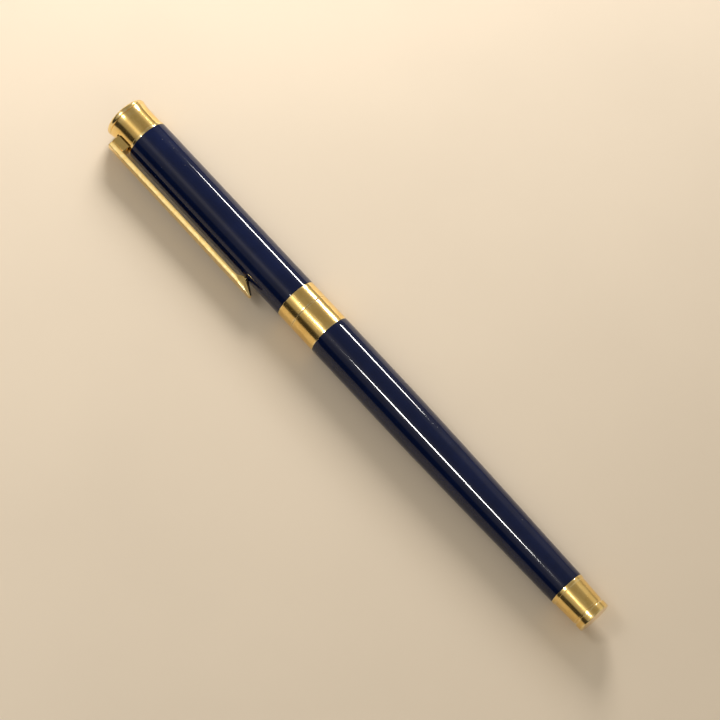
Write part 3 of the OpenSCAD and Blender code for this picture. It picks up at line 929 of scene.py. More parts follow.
@dataclass
class Barrel:
    """The lacquered barrel with its gold ring, and the threaded bush and end plug inside it."""

    wall: float = 0.45
    taper_start: float = 60.0
    tail_slope: float = 0.0155
    seam: float = 0.05
    parting: float = 0.02
    bush_bore: float = 3.52
    stud: float = 2.78
    screw_hole: float = 1.02
    spring_room: float = 0.15
    spring_gap: float = 0.05
    screw_room: float = 0.08
    taper_steps: int = 60
    front_steps: int = 12
    thread: Thread = field(default_factory=Thread)

    def outline(self) -> Outline:
        """The barrel tube: parallel in front, and behind it an eased taper with a slight swell.

        With u from 0 at the tail to 1 at the parallel front, the radius is the tail's plus the rise times
        u u (3 - 2u), plus the slope times the length times u (1 - u) (1 - u).

        Returns:
            The outline.
        """
        box = node_box("barrel_tube")
        tail_r = node_box("tail_finial").r
        length = self.taper_start - box.x0
        taper = np.linspace(box.x0, self.taper_start, self.taper_steps)
        x = np.concatenate([taper, np.linspace(self.taper_start, box.x1, self.front_steps)[1:]])
        u = np.clip((x - box.x0) / length, 0, 1)
        r = tail_r + (box.r - tail_r) * u * u * (3 - 2 * u) + self.tail_slope * length * u * (1 - u) ** 2
        outline = smooth_outline(x, r, r - self.wall)
        ends = self.seam * np.array([[1, 0], [0.3, -0.3], [0, -1]])
        front = np.array([x[-1], r[-1]]) + ends * [-1, 1]
        back = (np.array([x[0], r[0]]) + ends)[::-1]
        points = np.vstack([back, outline.points[1 : len(x) - 1], front, outline.points[len(x) :]])
        wear = np.zeros(len(points))
        wear[:3] = wear[len(x) : len(x) + 3] = 1.0
        return Outline(points, wear, True)

    def ring(self) -> Outline:
        """The gold ring at the barrel's mouth."""
        box = node_box("barrel_ring")
        inner, mouth = box.r - self.wall, box.x1 - self.parting
        corners = [(box.x0, inner, 0), (box.x0, box.r, 0.09), (mouth, box.r, 0.12), (mouth, inner, 0)]
        return rounded(corners)

    def bush(self) -> tuple[Outline, Relief]:
        """The brass bush with its inside thread.

        Returns:
            The outline, and the relief that grooves its bore.
        """
        box = node_box("barrel_bush")
        x = self.thread.stations(box.x0, box.x1)
        edge = 0.12
        low = box.r - edge
        outer = np.array([[box.x0, low], [box.x0 + edge, box.r], [box.x1 - edge, box.r], [box.x1, low]])
        points = np.vstack([outer, np.stack([x[::-1], np.full(len(x), self.bush_bore)], -1)])
        outline = Outline(points, np.zeros(len(points)), True)

        def relief(row: np.ndarray, angle: np.ndarray) -> np.ndarray:
            """Deepens the bore along the thread, which is every row after the outer ones."""
            cut = self.thread.cut(points[row, 0], angle, box.x0, box.x1)
            return np.where(row >= len(outer), cut, 0.0)

        return outline, relief

    def end_plug(self) -> Outline:
        """The brass plug in the tail: a stud for the finial, a seat for the spring and a screw hole."""
        box = node_box("barrel_end_plug")
        spring, screw = node_box("refill_spring"), node_box("tail_button")
        x_step = node_box("tail_finial").x1
        stud, seat_r, hole = self.stud, spring.r + self.spring_room, self.screw_hole
        floor, x_hole = spring.x0 - self.spring_gap, screw.x1 + self.screw_room
        corners = [
            (box.x0, hole, 0), (box.x0, stud, 0.15), (x_step, stud, 0), (x_step, box.r, 0.05),
            (box.x1, box.r, 0.1), (box.x1, seat_r, 0.08), (floor, seat_r, 0), (floor, 0, 0), (x_hole, 0, 0),
            (x_hole, hole, 0),
        ]
        return rounded(corners)

    def build(self) -> None:
        """Builds the barrel's pieces and dresses them."""
        lathe("barrel_tube", "lacquered", self.outline(), FINE, Body.BARREL, Finishes.NAVY)
        lathe("barrel_ring", "plated", self.ring(), FINE, Body.BARREL, Finishes.GOLD)
        outline, relief = self.bush()
        lathe("barrel_bush", "threaded", outline, MEDIUM, Body.BARREL, Finishes.BRASS, relief)
        lathe("barrel_end_plug", "turned", self.end_plug(), COARSE, Body.BARREL, Finishes.BRASS)


@dataclass
class Tail:
    """The gold finial with its bead, and the end button behind a fine groove."""

    bead: float = 0.8
    bead_rise: float = 0.15
    rear_step: float = 0.35
    bore: float = 2.8
    groove: float = 0.3
    groove_depth: float = 0.25
    screw: float = 1.0

    def finial(self) -> Outline:
        """The finial: it narrows a little to the rear, and a bead stands at its seam with the barrel."""
        box = node_box("tail_finial")
        rear, waist, x_bead = box.r - self.rear_step, box.r - self.bead_rise, box.x1 - self.bead
        corners = [
            (box.x0, self.bore, 0), (box.x0, rear, 0.1), (x_bead, waist, 0.03), (x_bead + 0.02, box.r, 0.16),
            (box.x1, box.r, 0.12), (box.x1, self.bore, 0),
        ]
        return rounded(corners)

    def button(self) -> Outline:
        """The end button: a flat face with a rounded rim, a groove behind it and a screw into the plug."""
        box, finial = node_box("tail_button"), node_box("tail_finial")
        floor = box.r - self.groove_depth
        x_groove = finial.x0 - self.groove
        corners = [
            (box.x0, 0, 0), (box.x0, box.r, 0.28), (x_groove, box.r, 0.14), (x_groove, floor, 0.04),
            (finial.x0, floor, 0), (finial.x0, self.screw, 0), (box.x1, self.screw, 0.2), (box.x1, 0, 0),
        ]
        return rounded(corners, closed=False)

    def build(self) -> None:
        """Builds the tail's pieces and dresses them."""
        lathe("tail_finial", "plated", self.finial(), FINE, Body.BARREL, Finishes.GOLD)
        lathe("tail_button", "plated", self.button(), FINE, Body.BARREL, Finishes.GOLD)


@dataclass
class Cap:
    """The lacquered cap tube with its lip band, liner and clutch ring."""

    lip: float = 0.6
    liner_wall: float = 0.35
    liner_end: float = 0.6
    seat: float = 0.02
    clutch_wall: float = 0.32
    clutch_gap_deg: float = 30.0

    def tube(self) -> Outline:
        """The lacquered tube around the liner."""
        box = node_box("cap_tube")
        bore = node_box("cap_liner").r + self.seat
        corners = [(box.x0, bore, 0), (box.x0, box.r, 0.05), (box.x1, box.r, 0.05), (box.x1, bore, 0)]
        return rounded(corners)

    def lip_band(self) -> Outline:
        """The gold band at the cap's mouth, with a seat for the clutch ring and the liner."""
        box, liner = node_box("cap_lip_band"), node_box("cap_liner")
        mouth, seat = liner.r - self.liner_wall, liner.r + self.seat
        corners = [
            (box.x0, mouth, 0.08), (box.x0, box.r, 0.12), (box.x1, box.r, 0.09), (box.x1, seat, 0),
            (box.x0 + self.lip, seat, 0), (box.x0 + self.lip, mouth, 0.05),
        ]
        return rounded(corners)

    def liner(self) -> Outline:
        """The plastic liner, closed at its far end."""
        box = node_box("cap_liner")
        bore, floor = box.r - self.liner_wall, box.x1 - self.liner_end
        corners = [
            (floor, 0, 0), (floor, bore, 0.3), (box.x0, bore, 0.08), (box.x0, box.r, 0.08),
            (box.x1, box.r, 0.1), (box.x1, 0, 0),
        ]
        return rounded(corners, closed=False)

    def clutch(self) -> Outline:
        """The split steel ring that grips the section."""
        box = node_box("clutch_ring")
        inner = box.r - self.clutch_wall
        corners = [(box.x0, inner, 0.08), (box.x0, box.r, 0.08), (box.x1, box.r, 0.08), (box.x1, inner, 0.08)]
        return rounded(corners, steps=3)

    def build(self) -> None:
        """Builds the cap's pieces and dresses them."""
        lathe("cap_tube", "lacquered", self.tube(), FINE, Body.CAP, Finishes.NAVY)
        lathe("cap_lip_band", "plated", self.lip_band(), FINE, Body.CAP, Finishes.GOLD)
        lathe("cap_liner", "moulded", self.liner(), MEDIUM, Body.CAP, Finishes.BLACK)
        half_gap = math.radians(self.clutch_gap_deg / 2)
        start, sweep = half_gap - math.pi / 2, FULL_TURN - 2 * half_gap
        ring = turned("clutch_ring_rolled", self.clutch(), COARSE, start, sweep)
        fit(ring, Body.CLUTCH, Finishes.SPRING, "clutch_ring")


@dataclass
class Crown:
    """The crown: a sleeve with a window for the clip's lug, and a flanged cap with an inlaid disc."""

    wall: float = 1.05
    sink: float = 0.15
    bead: float = 0.6
    cove: float = 1.6
    slot_gap: float = 0.15
    seat: float = 0.02
    neck: float = 1.62
    inlay_depth: float = 0.35
    bead_round: float = 0.11
    cheeks: int = 16
    around: int = 160
    window_rows: int = 9

    def sleeve_profile(self) -> tuple[np.ndarray, np.ndarray, np.ndarray]:
        """The sleeve's outer curve: a rounded bead at the seam, a plain waist, and a cove up to the flange.

        Returns:
            The stations, the radius at each, and the wear at each.
        """
        box = node_box("crown_sleeve")
        waist = box.r - self.sink
        x_bead = box.x0 + self.bead
        roll = np.linspace(0, math.pi / 2, 6)
        rise = self.bead_round
        first = np.stack([box.x0 + rise - rise * np.cos(roll), box.r - rise + rise * np.sin(roll)], -1)
        second = np.stack([x_bead - rise + rise * np.sin(roll), box.r - rise + rise * np.cos(roll)], -1)
        u = np.linspace(0, 1, 10)
        rim = waist + self.sink * (1 - np.cos(u * math.pi / 2))
        cove = np.stack([box.x1 - self.cove + self.cove * u, rim], -1)
        lug = node_box("clip_lug")
        window = np.linspace(lug.x0 - self.slot_gap, cove[0, 0] - 0.02, self.window_rows)
        flat = np.stack([window, np.full(len(window), waist)], -1)
        step = np.array([[x_bead + 0.03, waist]])
        points = np.vstack([first, second, step, flat, cove])
        bead = np.ones(len(first) + len(second))
        wear = np.concatenate([bead, [0.2], np.zeros(len(flat)), np.linspace(0, 0.6, len(cove))])
        return points[:, 0], points[:, 1], wear

    def sleeve(self) -> bpy.types.Object:
        """Builds the sleeve with its window.

        The sleeve is a grid of station by angle, outside and inside. Between two angles the grid's lines bend
        to keep a fixed z, so that the window's sides are flat. Its faces are left out there, and walls join
        the two skins.

        Returns:
            The piece.
        """
        x, r, wear = self.sleeve_profile()
        lug = node_box("clip_lug")
        half = lug.hi[2] + self.slot_gap
        first = int(np.argmin(np.abs(x - (lug.x0 - self.slot_gap))))
        last = first + self.window_rows - 1
        bore = np.full(len(x), node_box("crown_sleeve").r - self.sink - self.wall)
        v = np.linspace(-1, 1, self.cheeks + 1)
        skins = []
        for radius in (r, bore):
            edge = np.arcsin(np.clip(half / radius, -1, 1))[:, None]
            inside = math.pi / 2 + edge * v[None, :]
            k = np.linspace(0, 1, self.around + 1)[None, 1:-1]
            outside = math.pi / 2 + edge + (FULL_TURN - 2 * edge) * k
            angle = np.concatenate([inside, outside], 1)
            columns = angle.shape[1]
            y, z = radius[:, None] * np.sin(angle), radius[:, None] * np.cos(angle)
            skins.append(np.stack([np.repeat(x[:, None], columns, 1), y, z], -1))
        count = len(x) * columns
        points = np.concatenate([s.reshape(-1, 3) for s in skins])
        quads = grid_quads(len(x), columns, False, True).reshape(len(x) - 1, columns, 4)
        open_ = np.zeros(quads.shape[:2], bool)
        open_[first:last, : self.cheeks] = True
        outer = quads[~open_]
        inner = outer[:, ::-1] + count
        j = np.arange(columns)
        j1 = (j + 1) % columns
        top = (len(x) - 1) * columns
        i, c = np.arange(first, last) * columns, np.arange(self.cheeks)
        walls = []
        for a, b, flip in (
            (j1, j, False),
            (top + j, top + j1, False),
            (i, i + columns, False),
            (i + self.cheeks, i + columns + self.cheeks, True),
            (first * columns + c, first * columns + c + 1, True),
            (last * columns + c, last * columns + c + 1, False),
        ):
            wall = np.stack([a, b, b + count, a + count], -1)
            walls.append(wall[:, ::-1] if flip else wall)
        worn = np.repeat(wear, columns).reshape(len(x), columns)
        worn[[first, last], : self.cheeks + 1] = 1.0
        worn[first : last + 1, [0, self.cheeks]] = 1.0
        worn = np.concatenate([worn.ravel(), np.zeros(count)])
        return make_mesh("crown_sleeve_plated", points, np.concatenate([outer, inner, *walls]), worn)

    def top(self) -> Outline:
        """The flanged cap: a round edge, a recess for the disc, and a spigot with a bore for the neck."""
        box, sleeve, inlay = node_box("crown_cap"), node_box("crown_sleeve"), node_box("crown_inlay")
        spigot = sleeve.r - self.sink - self.wall - self.seat
        half = (box.x1 - sleeve.x1) / 2
        x_floor = box.x1 - self.inlay_depth
        recess = inlay.r + self.seat
        neck_end = x_floor - 0.4
        full = half * 0.98
        corners = [
            (x_floor, 0, 0), (x_floor, recess, 0), (box.x1, recess, 0.1), (box.x1, box.r, full),
            (sleeve.x1, box.r, full), (sleeve.x1, spigot, 0), (box.x0, spigot, 0.08),
            (box.x0, self.neck, 0), (neck_end, self.neck, 0), (neck_end, 0, 0),
        ]
        return rounded(corners, closed=False, steps=9)

    def inlay(self) -> Outline:
        """The inlaid disc, very slightly dished, with a fine step near its rim."""
        box = node_box("crown_inlay")
        corners = [
            (box.x0, 0, 0), (box.x0, box.r, 0), (box.x1, box.r, 0.06), (box.x1, box.r * 0.86, 0.03),
            (box.x1 - 0.06, box.r * 0.84, 0.03), (box.x1 - 0.04, 0, 0),
        ]
        return rounded(corners, closed=False)

    def build(self) -> None:
        """Builds the crown's pieces and dresses them."""
        fit(self.sleeve(), Body.CAP, Finishes.GOLD, "crown_sleeve")
        lathe("crown_cap", "plated", self.top(), FINE, Body.CAP, Finishes.GOLD)
        lathe("crown_inlay", "lacquered", self.inlay(), MEDIUM, Body.CAP, Finishes.NAVY)
        dress_node("head_plug", Finishes.BRASS)


@dataclass
class Clip:
    """The sprung clip: a flat bar with leaning sides and a slanted foot, on a lug that turns on a pin."""

    lean: float = 0.4
    ramp: float = 2.4
    foot_round: float = 0.35
    slant_reach: float = 2.9
    rounding: float = 0.1
    end_gap: float = 0.06
    arc_steps: int = 14
    ramp_steps: int = 16
    foot_steps: int = 40
    plain_steps: int = 26
    lug_rounding: float = 0.12
    spring_wire: float = 0.3
    spring_turns: int = 5

    def bar(self) -> bpy.types.Object:
        """Builds the bar.

        The bar is a rounded section carried from the lug to the tip. Each section joins a point of the lower
        line to a point of the upper one. Along the bar the sections stand upright, and at the end they lie
        along the slant. With q for the distance from the slanted face, the width there is that of a half
        circle as wide as the bar. The half width shrinks evenly by the lean from the seat up to the top.

        Returns:
            The piece.
        """
        box, lug = node_box("clip_bar"), node_box("clip_lug")
        half, top, seat, foot = box.hi[2], box.hi[1], lug.hi[1], box.lo[1]
        nose = np.array([box.x0 + self.slant_reach, foot + self.foot_round])
        tip = np.array([box.x0 + self.foot_round, top - self.foot_round])
        along = (tip - nose) / np.linalg.norm(tip - nose)
        off = np.array([-along[1], along[0]])
        if off[0] > 0:
            off = -off
        # The lower line is the nose's arc, the foot and the ramp, and the upper one the tip's arc and the top
        arc = np.linspace(0, 1, self.arc_steps)
        start = math.atan2(off[1], off[0])
        down = -math.pi / 2 if start < 0 else math.pi * 1.5
        angle = start + (down - start) * arc
        under = nose + self.foot_round * np.stack([np.cos(angle), np.sin(angle)], -1)
        u = np.linspace(0, 1, self.ramp_steps)[1:]
        ramp_x = nose[0] + self.foot_round / 2 + self.ramp * u
        ramp = np.stack([ramp_x, foot + (seat - foot) * u * u * (3 - 2 * u)], -1)
        lower = np.vstack([under, [[nose[0] + self.foot_round / 2, foot]], ramp])
        up_start = start if start > 0 else start + FULL_TURN
        angle = up_start + (math.pi / 2 - up_start) * arc
        over = tip + self.foot_round * np.stack([np.cos(angle), np.sin(angle)], -1)
        upper = np.vstack([over, [[box.x1, top]]])
        q_low, q_up = (lower - nose) @ off, (upper - nose) @ off
        q_last = q_low[-1]
        t = np.linspace(0, 1, self.foot_steps)
        q = self.foot_round - (self.foot_round - q_last) * t * t
        low = np.stack([np.interp(-q, -q_low, lower[:, k]) for k in range(2)], -1)
        high = np.stack([np.interp(-q, -q_up, upper[:, k]) for k in range(2)], -1)
        depth = np.clip(q - (self.foot_round - half), 0, half)
        wide = np.sqrt(np.clip(half * half - depth * depth, 0, None))
        # The plain length of the bar up to the lug, and its end
        k = np.linspace(0, 1, self.plain_steps)[1:]
        blend = (1 - k) ** 2
        plain_low = np.stack([low[-1, 0] + (box.x1 - low[-1, 0]) * k, np.full(len(k), seat)], -1)
        shift = low[-1, 0] - high[-1, 0]
        plain_high = np.stack([plain_low[:, 0] - shift * blend, np.full(len(k), top)], -1)
        shrink = np.array([0.97, 0.88])
        low = np.vstack([low, plain_low, np.repeat(plain_low[-1:], 2, 0)])
        high = np.vstack([high, plain_high, np.repeat(plain_high[-1:], 2, 0)])
        wide = np.concatenate([wide, np.full(len(k), half), half * shrink])
        low[-2:, 1] += (1 - shrink) * 0.5
        high[-2:, 1] -= (1 - shrink) * 0.5
        low[:-2, 0] = np.minimum(low[:-2, 0], box.x1 - self.end_gap)
        high[:-2, 0] = np.minimum(high[:-2, 0], box.x1 - self.end_gap)
        low[-2:, 0] = high[-2:, 0] = [box.x1 - 0.02, box.x1]
        span = high - low
        height = np.linalg.norm(span, axis=1)
        a, b, wear = rounded_rectangle(height, 2 * wide, self.rounding)
        middle = (low + high) / 2
        unit = span / height[:, None]
        place = middle[:, None, :] + a[..., None] * unit[:, None, :]
        rise = np.clip((place[..., 1] - seat) / (top - seat), 0, 1)
        z = b * (1 - self.lean * rise / half)
        points = np.concatenate([place, z[..., None]], -1)
        rows, columns = a.shape
        quads = grid_quads(rows, columns, False, True)
        ends = [np.arange(columns) + (rows - 1) * columns]
        return make_mesh("clip_bar_plated", points.reshape(-1, 3), quads, wear.ravel(), ends, crease_deg=38)

    def pin(self) -> bpy.types.Object:
        """The pivot pin: a small cylinder along Z with rounded ends.

        Returns:
            The piece.
        """
        box = node_box("clip_pivot_pin")
        r = (box.hi[0] - box.lo[0]) / 2
        corners = [(box.lo[2], 0, 0), (box.lo[2], r, 0.1), (box.hi[2], r, 0.1), (box.hi[2], 0, 0)]
        piece = turned("clip_pivot_pin_ground", rounded(corners, closed=False), 32)
        x, y, _ = box.centre
        upright = Matrix(((0, 1, 0, x * MM), (0, 0, 1, y * MM), (1, 0, 0, 0), (0, 0, 0, 1)))
        piece.data.transform(upright)
        return piece

    def build(self) -> None:
        """Builds the clip's pieces and dresses them."""
        fit(self.bar(), Body.CLIP, Finishes.GOLD, "clip_bar")
        lug = softened_copy("clip_lug", "clip_lug_plated", self.lug_rounding)
        fit(lug, Body.CLIP, Finishes.GOLD, "clip_lug")
        fit(self.pin(), Body.CAP, Finishes.SPRING, "clip_pivot_pin")
        box = node_box("clip_spring")
        r = (box.hi[1] - box.lo[1]) / 2
        size = box.x0, box.x1, r, self.spring_wire, self.spring_turns
        wound = coil("clip_spring_wound", *size, y=box.lo[1] + r)
        fit(wound, Body.CAP, Finishes.SPRING, "clip_spring")


@dataclass
class Section:
    """The writing section: threaded collar, plastic grip with fine grooves, and gold nozzle."""

    thread: Thread = field(default_factory=Thread)
    thread_r: float = 3.45
    bore: float = 3.15
    grooves: int = 5
    pitch: float = 1.6
    groove_r: float = 0.3
    groove_depth: float = 0.15
    shoulder: float = 98.5
    rim: float = 1.58
    relief_gap: float = 0.2
    grip_seat: float = 2.4
    nozzle_skirt: float = 2.38
    nozzle_room: float = 1.85
    nozzle_step: float = 115.8
    nozzle_bore: float = 1.28

    def collar(self) -> tuple[Outline, Relief]:
        """The connector and its collar, one gold piece with an outside thread.

        Returns:
            The outline, and the relief that cuts the thread.
        """
        box, lip = node_box("thread_collar"), node_box("cap_lip_band")
        spigot = node_box("grip_shell").x0
        thread_end = lip.x0 - self.relief_gap
        x = self.thread.stations(box.x0, thread_end)
        threaded = np.stack([x, np.full(len(x), self.thread_r)], -1)
        edge, socket = 0.1, self.bore + 0.25
        rest = np.array([
            [lip.x0, self.thread_r], [lip.x0, box.r - edge], [lip.x0 + edge, box.r],
            [box.x1 - edge, box.r], [box.x1, box.r - edge], [box.x1, socket], [spigot, socket],
            [spigot, self.bore], [box.x0, self.bore],
        ])
        points = np.vstack([threaded, rest])
        wear = np.concatenate([np.zeros(len(x)), [0, 1, 1, 1, 1, 0, 0, 0, 0]])

        def relief(row: np.ndarray, angle: np.ndarray) -> np.ndarray:
            """Cuts the thread into every row before the collar's own."""
            cut = self.thread.cut(points[row, 0], angle, box.x0, thread_end)
            return np.where(row < len(x), -cut, 0.0)

        return Outline(points, wear, True), relief

    def grip(self) -> Outline:
        """The grip: parallel, then eased down to the nozzle, with fine grooves around its middle.

        Each groove is a circular arc sunk into the eased curve.

        Returns:
            The outline.
        """
        box, collar, nozzle = node_box("grip_shell"), node_box("thread_collar"), node_box("nozzle")
        x_end = box.x1
        start = self.shoulder - 2
        small = nozzle.r
        x = np.linspace(start, x_end, 170)
        u = (x - start) / (x_end - start)
        r = box.r + (small - box.r) * u * u * (3 - 2 * u)
        middle = (self.shoulder + x_end) / 2
        centres = middle + (np.arange(self.grooves) - (self.grooves - 1) / 2) * self.pitch
        away = np.abs(x[:, None] - centres[None, :])
        lift = self.groove_r - self.groove_depth
        dip = np.sqrt(np.clip(self.groove_r**2 - away**2, 0, None)).max(1) - lift
        r = r - np.clip(dip, 0, None)
        r[-1] -= 0.05
        spigot_r = self.bore + 0.23
        head = np.array([
            [box.x0, self.bore], [box.x0, spigot_r], [collar.x1, spigot_r], [collar.x1, box.r - 0.06],
            [collar.x1 + 0.06, box.r],
        ])
        seat = self.grip_seat
        tail = np.array([[x_end, seat], [self.shoulder, seat], [self.shoulder, self.bore]])
        points = np.vstack([head, np.stack([x, r], -1), tail])
        wear = np.concatenate([[0, 0, 0, 1, 1], np.where(dip > 0, 0.5, 0.0), [0, 0, 0]])
        return Outline(points, wear, True)

    def nozzle(self) -> Outline:
        """The nozzle: its outline lies halfway between a straight cone and an ellipse, down to a rolled rim.

        Returns:
            The outline.
        """
        box, grip = node_box("nozzle"), node_box("grip_shell")
        length = box.x1 - grip.x1
        u = np.linspace(0, 0.985, 40)
        r = self.rim + (box.r - self.rim) * (np.sqrt(1 - u * u) + 1 - u) / 2
        outer = np.stack([grip.x1 + length * u, r], -1)
        outer[0, 1] -= 0.05
        lip = [[box.x1 - 0.03, self.rim - 0.03], [box.x1, self.rim - 0.1]]
        step, bore, room, skirt = self.nozzle_step, self.nozzle_bore, self.nozzle_room, self.nozzle_skirt
        rim = np.array([*lip, [box.x1, 1.33], [box.x1 - 0.06, bore]])
        back = np.array([[step, bore], [step, room], [box.x0, room], [box.x0, skirt], [grip.x1, skirt]])
        points = np.vstack([outer, rim, back])
        wear = np.concatenate([[1, 0.3], np.zeros(len(u) - 2), np.ones(4), np.zeros(5)])
        return Outline(points, wear, True)

    def build(self) -> None:
        """Builds the section's pieces and dresses them."""
        outline, relief = self.collar()
        lathe("thread_collar", "plated", outline, MEDIUM, Body.SECTION, Finishes.GOLD, relief)
        lathe("grip_shell", "moulded", self.grip(), MEDIUM, Body.SECTION, Finishes.BLACK)
        lathe("nozzle", "plated", self.nozzle(), MEDIUM, Body.SECTION, Finishes.GOLD)


@dataclass
class Refill:
    """The replaceable refill, and the spring and cup that press on its rear."""

    tube_wall: float = 0.35
    seat: float = 0.02
    cup_flange: float = 0.8
    spindle: float = 1.1
    wick_hole: float = 0.59
    channel: float = 0.15
    holder_r: float = 2.3
    neck_start: float = 110.0
    neck_r: float = 1.75
    socket_r: float = 0.98
    shank_r: float = 0.96
    cone_length: float = 2.8
    pilot_r: float = 1.65
    ball_steps: int = 25
    spring_wire: float = 0.4
    spring_turns: int = 5

    def tube(self) -> Outline:
        """The ink tube."""
        box = node_box("refill_tube")
        inner = box.r - self.tube_wall
        corners = [(box.x0, inner, 0), (box.x0, box.r, 0.06), (box.x1, box.r, 0.12), (box.x1, inner, 0)]
        return rounded(corners)

    def holder(self) -> Outline:
        """The moulded holder: a plug in the tube, the holder and the slimmer neck, around the wick."""
        box, tube = node_box("refill_holder"), node_box("refill_tube")
        root, wide, neck, socket = node_box("refill_point").x0, self.holder_r, self.neck_r, self.socket_r
        corners = [
            (box.x0, self.wick_hole, 0), (box.x0, box.r, 0.05), (tube.x1, box.r, 0), (tube.x1, wide, 0.05),
            (self.neck_start, wide, 0.2), (self.neck_start, neck, 0.06), (box.x1, neck, 0.15),
            (box.x1, socket, 0), (root, socket, 0), (root, self.wick_hole, 0),
        ]
        return rounded(corners)

    def point(self) -> Outline:
        """The metal point: a shank, a cone, and the rim that holds the ball."""
        box, holder, ball = node_box("refill_point"), node_box("refill_holder"), node_box("refill_ball")
        cone, rim = ball.x1 - self.cone_length, ball.x1 - 1.4 * ball.r
        groove, cell, x_cell = box.r - 0.06, ball.r + 0.02, ball.x0 - 0.01
        corners = [
            (box.x0, self.wick_hole, 0), (box.x0, self.shank_r, 0), (holder.x1, self.shank_r, 0),
            (holder.x1, box.r, 0.05), (cone - 2.0, box.r, 0.02), (cone - 1.95, groove, 0.02),
            (cone - 1.75, groove, 0.02), (cone - 1.7, box.r, 0.02), (cone, box.r, 0.3),
            (rim, ball.r + 0.06, 0.04), (box.x1, ball.r + 0.035, 0), (box.x1, cell, 0), (x_cell, cell, 0),
            (x_cell, self.channel, 0), (cone, self.channel, 0), (cone, self.wick_hole, 0),
        ]
        return rounded(corners, steps=4)

    def ball(self) -> Outline:
        """The writing ball: a half circle from pole to pole."""
        box = node_box("refill_ball")
        angle = np.linspace(0, math.pi, self.ball_steps)
        middle = (box.x0 + box.x1) / 2
        points = np.stack([middle - box.r * np.cos(angle), box.r * np.sin(angle)], -1)
        points[[0, -1], 1] = 0
        return Outline(points, np.zeros(self.ball_steps), False)

    def rear_plug(self) -> Outline:
        """The rear plug, with a socket for the cup's spindle."""
        box, tube, cup = node_box("refill_rear_plug"), node_box("refill_tube"), node_box("spring_cup")
        inner = box.r - self.tube_wall - self.seat
        floor, socket = cup.x1 + 0.2, self.spindle + 0.04
        corners = [
            (floor, 0, 0), (floor, socket, 0), (box.x0, socket, 0.08), (box.x0, box.r, 0.15),
            (tube.x0, box.r, 0.04), (tube.x0, inner, 0), (box.x1, inner, 0.1), (box.x1, 0, 0),
        ]
        return rounded(corners, closed=False)

    def cup(self) -> Outline:
        """The cup between the spring and the refill: a pilot, a flange and a spindle."""
        box, plug = node_box("spring_cup"), node_box("refill_rear_plug")
        x_flange = plug.x0 - self.cup_flange
        corners = [
            (box.x0, 0, 0), (box.x0, self.pilot_r, 0.12), (x_flange, self.pilot_r, 0),
            (x_flange, box.r, 0.1), (plug.x0, box.r, 0.1), (plug.x0, self.spindle, 0),
            (box.x1, self.spindle, 0.12), (box.x1, 0, 0),
        ]
        return rounded(corners, closed=False)

    def build(self) -> None:
        """Builds the refill's pieces and dresses them."""
        lathe("refill_tube", "drawn", self.tube(), COARSE, Body.REFILL, Finishes.PALE)
        lathe("refill_holder", "moulded", self.holder(), COARSE, Body.REFILL, Finishes.BLACK)
        lathe("refill_point", "turned", self.point(), COARSE, Body.REFILL, Finishes.STEEL)
        lathe("refill_ball", "ground", self.ball(), 48, Body.REFILL, Finishes.STEEL)
        lathe("refill_rear_plug", "moulded", self.rear_plug(), COARSE, Body.REFILL, Finishes.BLACK)
        lathe("spring_cup", "moulded", self.cup(), COARSE, Body.CUP, Finishes.PALE)
        box = node_box("refill_spring")
        size = box.x0, box.x1, box.hi[1], self.spring_wire, self.spring_turns
        wound = coil("refill_spring_wound", *size)
        fit(wound, Body.SPRING, Finishes.SPRING, "refill_spring")
        for node in ("ink_reservoir", "ink_wick"):
            dress_node(node, Finishes.INK)


# ---- Studio ----


@dataclass(frozen=True)
class StripLight:
    """A long soft lamp: its middle, how it runs, its length and width, and its strength."""

    name: str
    angle_deg: float
    distance: float
    x: float
    length: float
    width: float
    watts: float
    colour: Colour
    glossy: bool = True  # A glossy lamp is only mirrored; any other only lights dull surfaces

    def build(self) -> None:
        """Places the lamp at its angle about the pen's axis, measured from +Z towards +Y, facing the axis."""
        data = bpy.data.lights.new(self.name, "AREA")
        data.shape = "ELLIPSE"
        data.size, data.size_y = self.length * MM, self.width * MM
        data.energy, data.color = self.watts, self.colour
        lamp = add_object(self.name, data)
        lamp.visible_glossy, lamp.visible_diffuse = self.glossy, not self.glossy
        angle = math.radians(self.angle_deg)
        away = Vector((0, math.sin(angle), math.cos(angle)))
        along = Vector((1, 0, 0))
        turn = Matrix((along, away.cross(along), away)).transposed()
        place = away * self.distance * MM + Vector((self.x * MM, 0, 0))
        lamp.matrix_world = Matrix.Translation(place) @ turn.to_4x4()


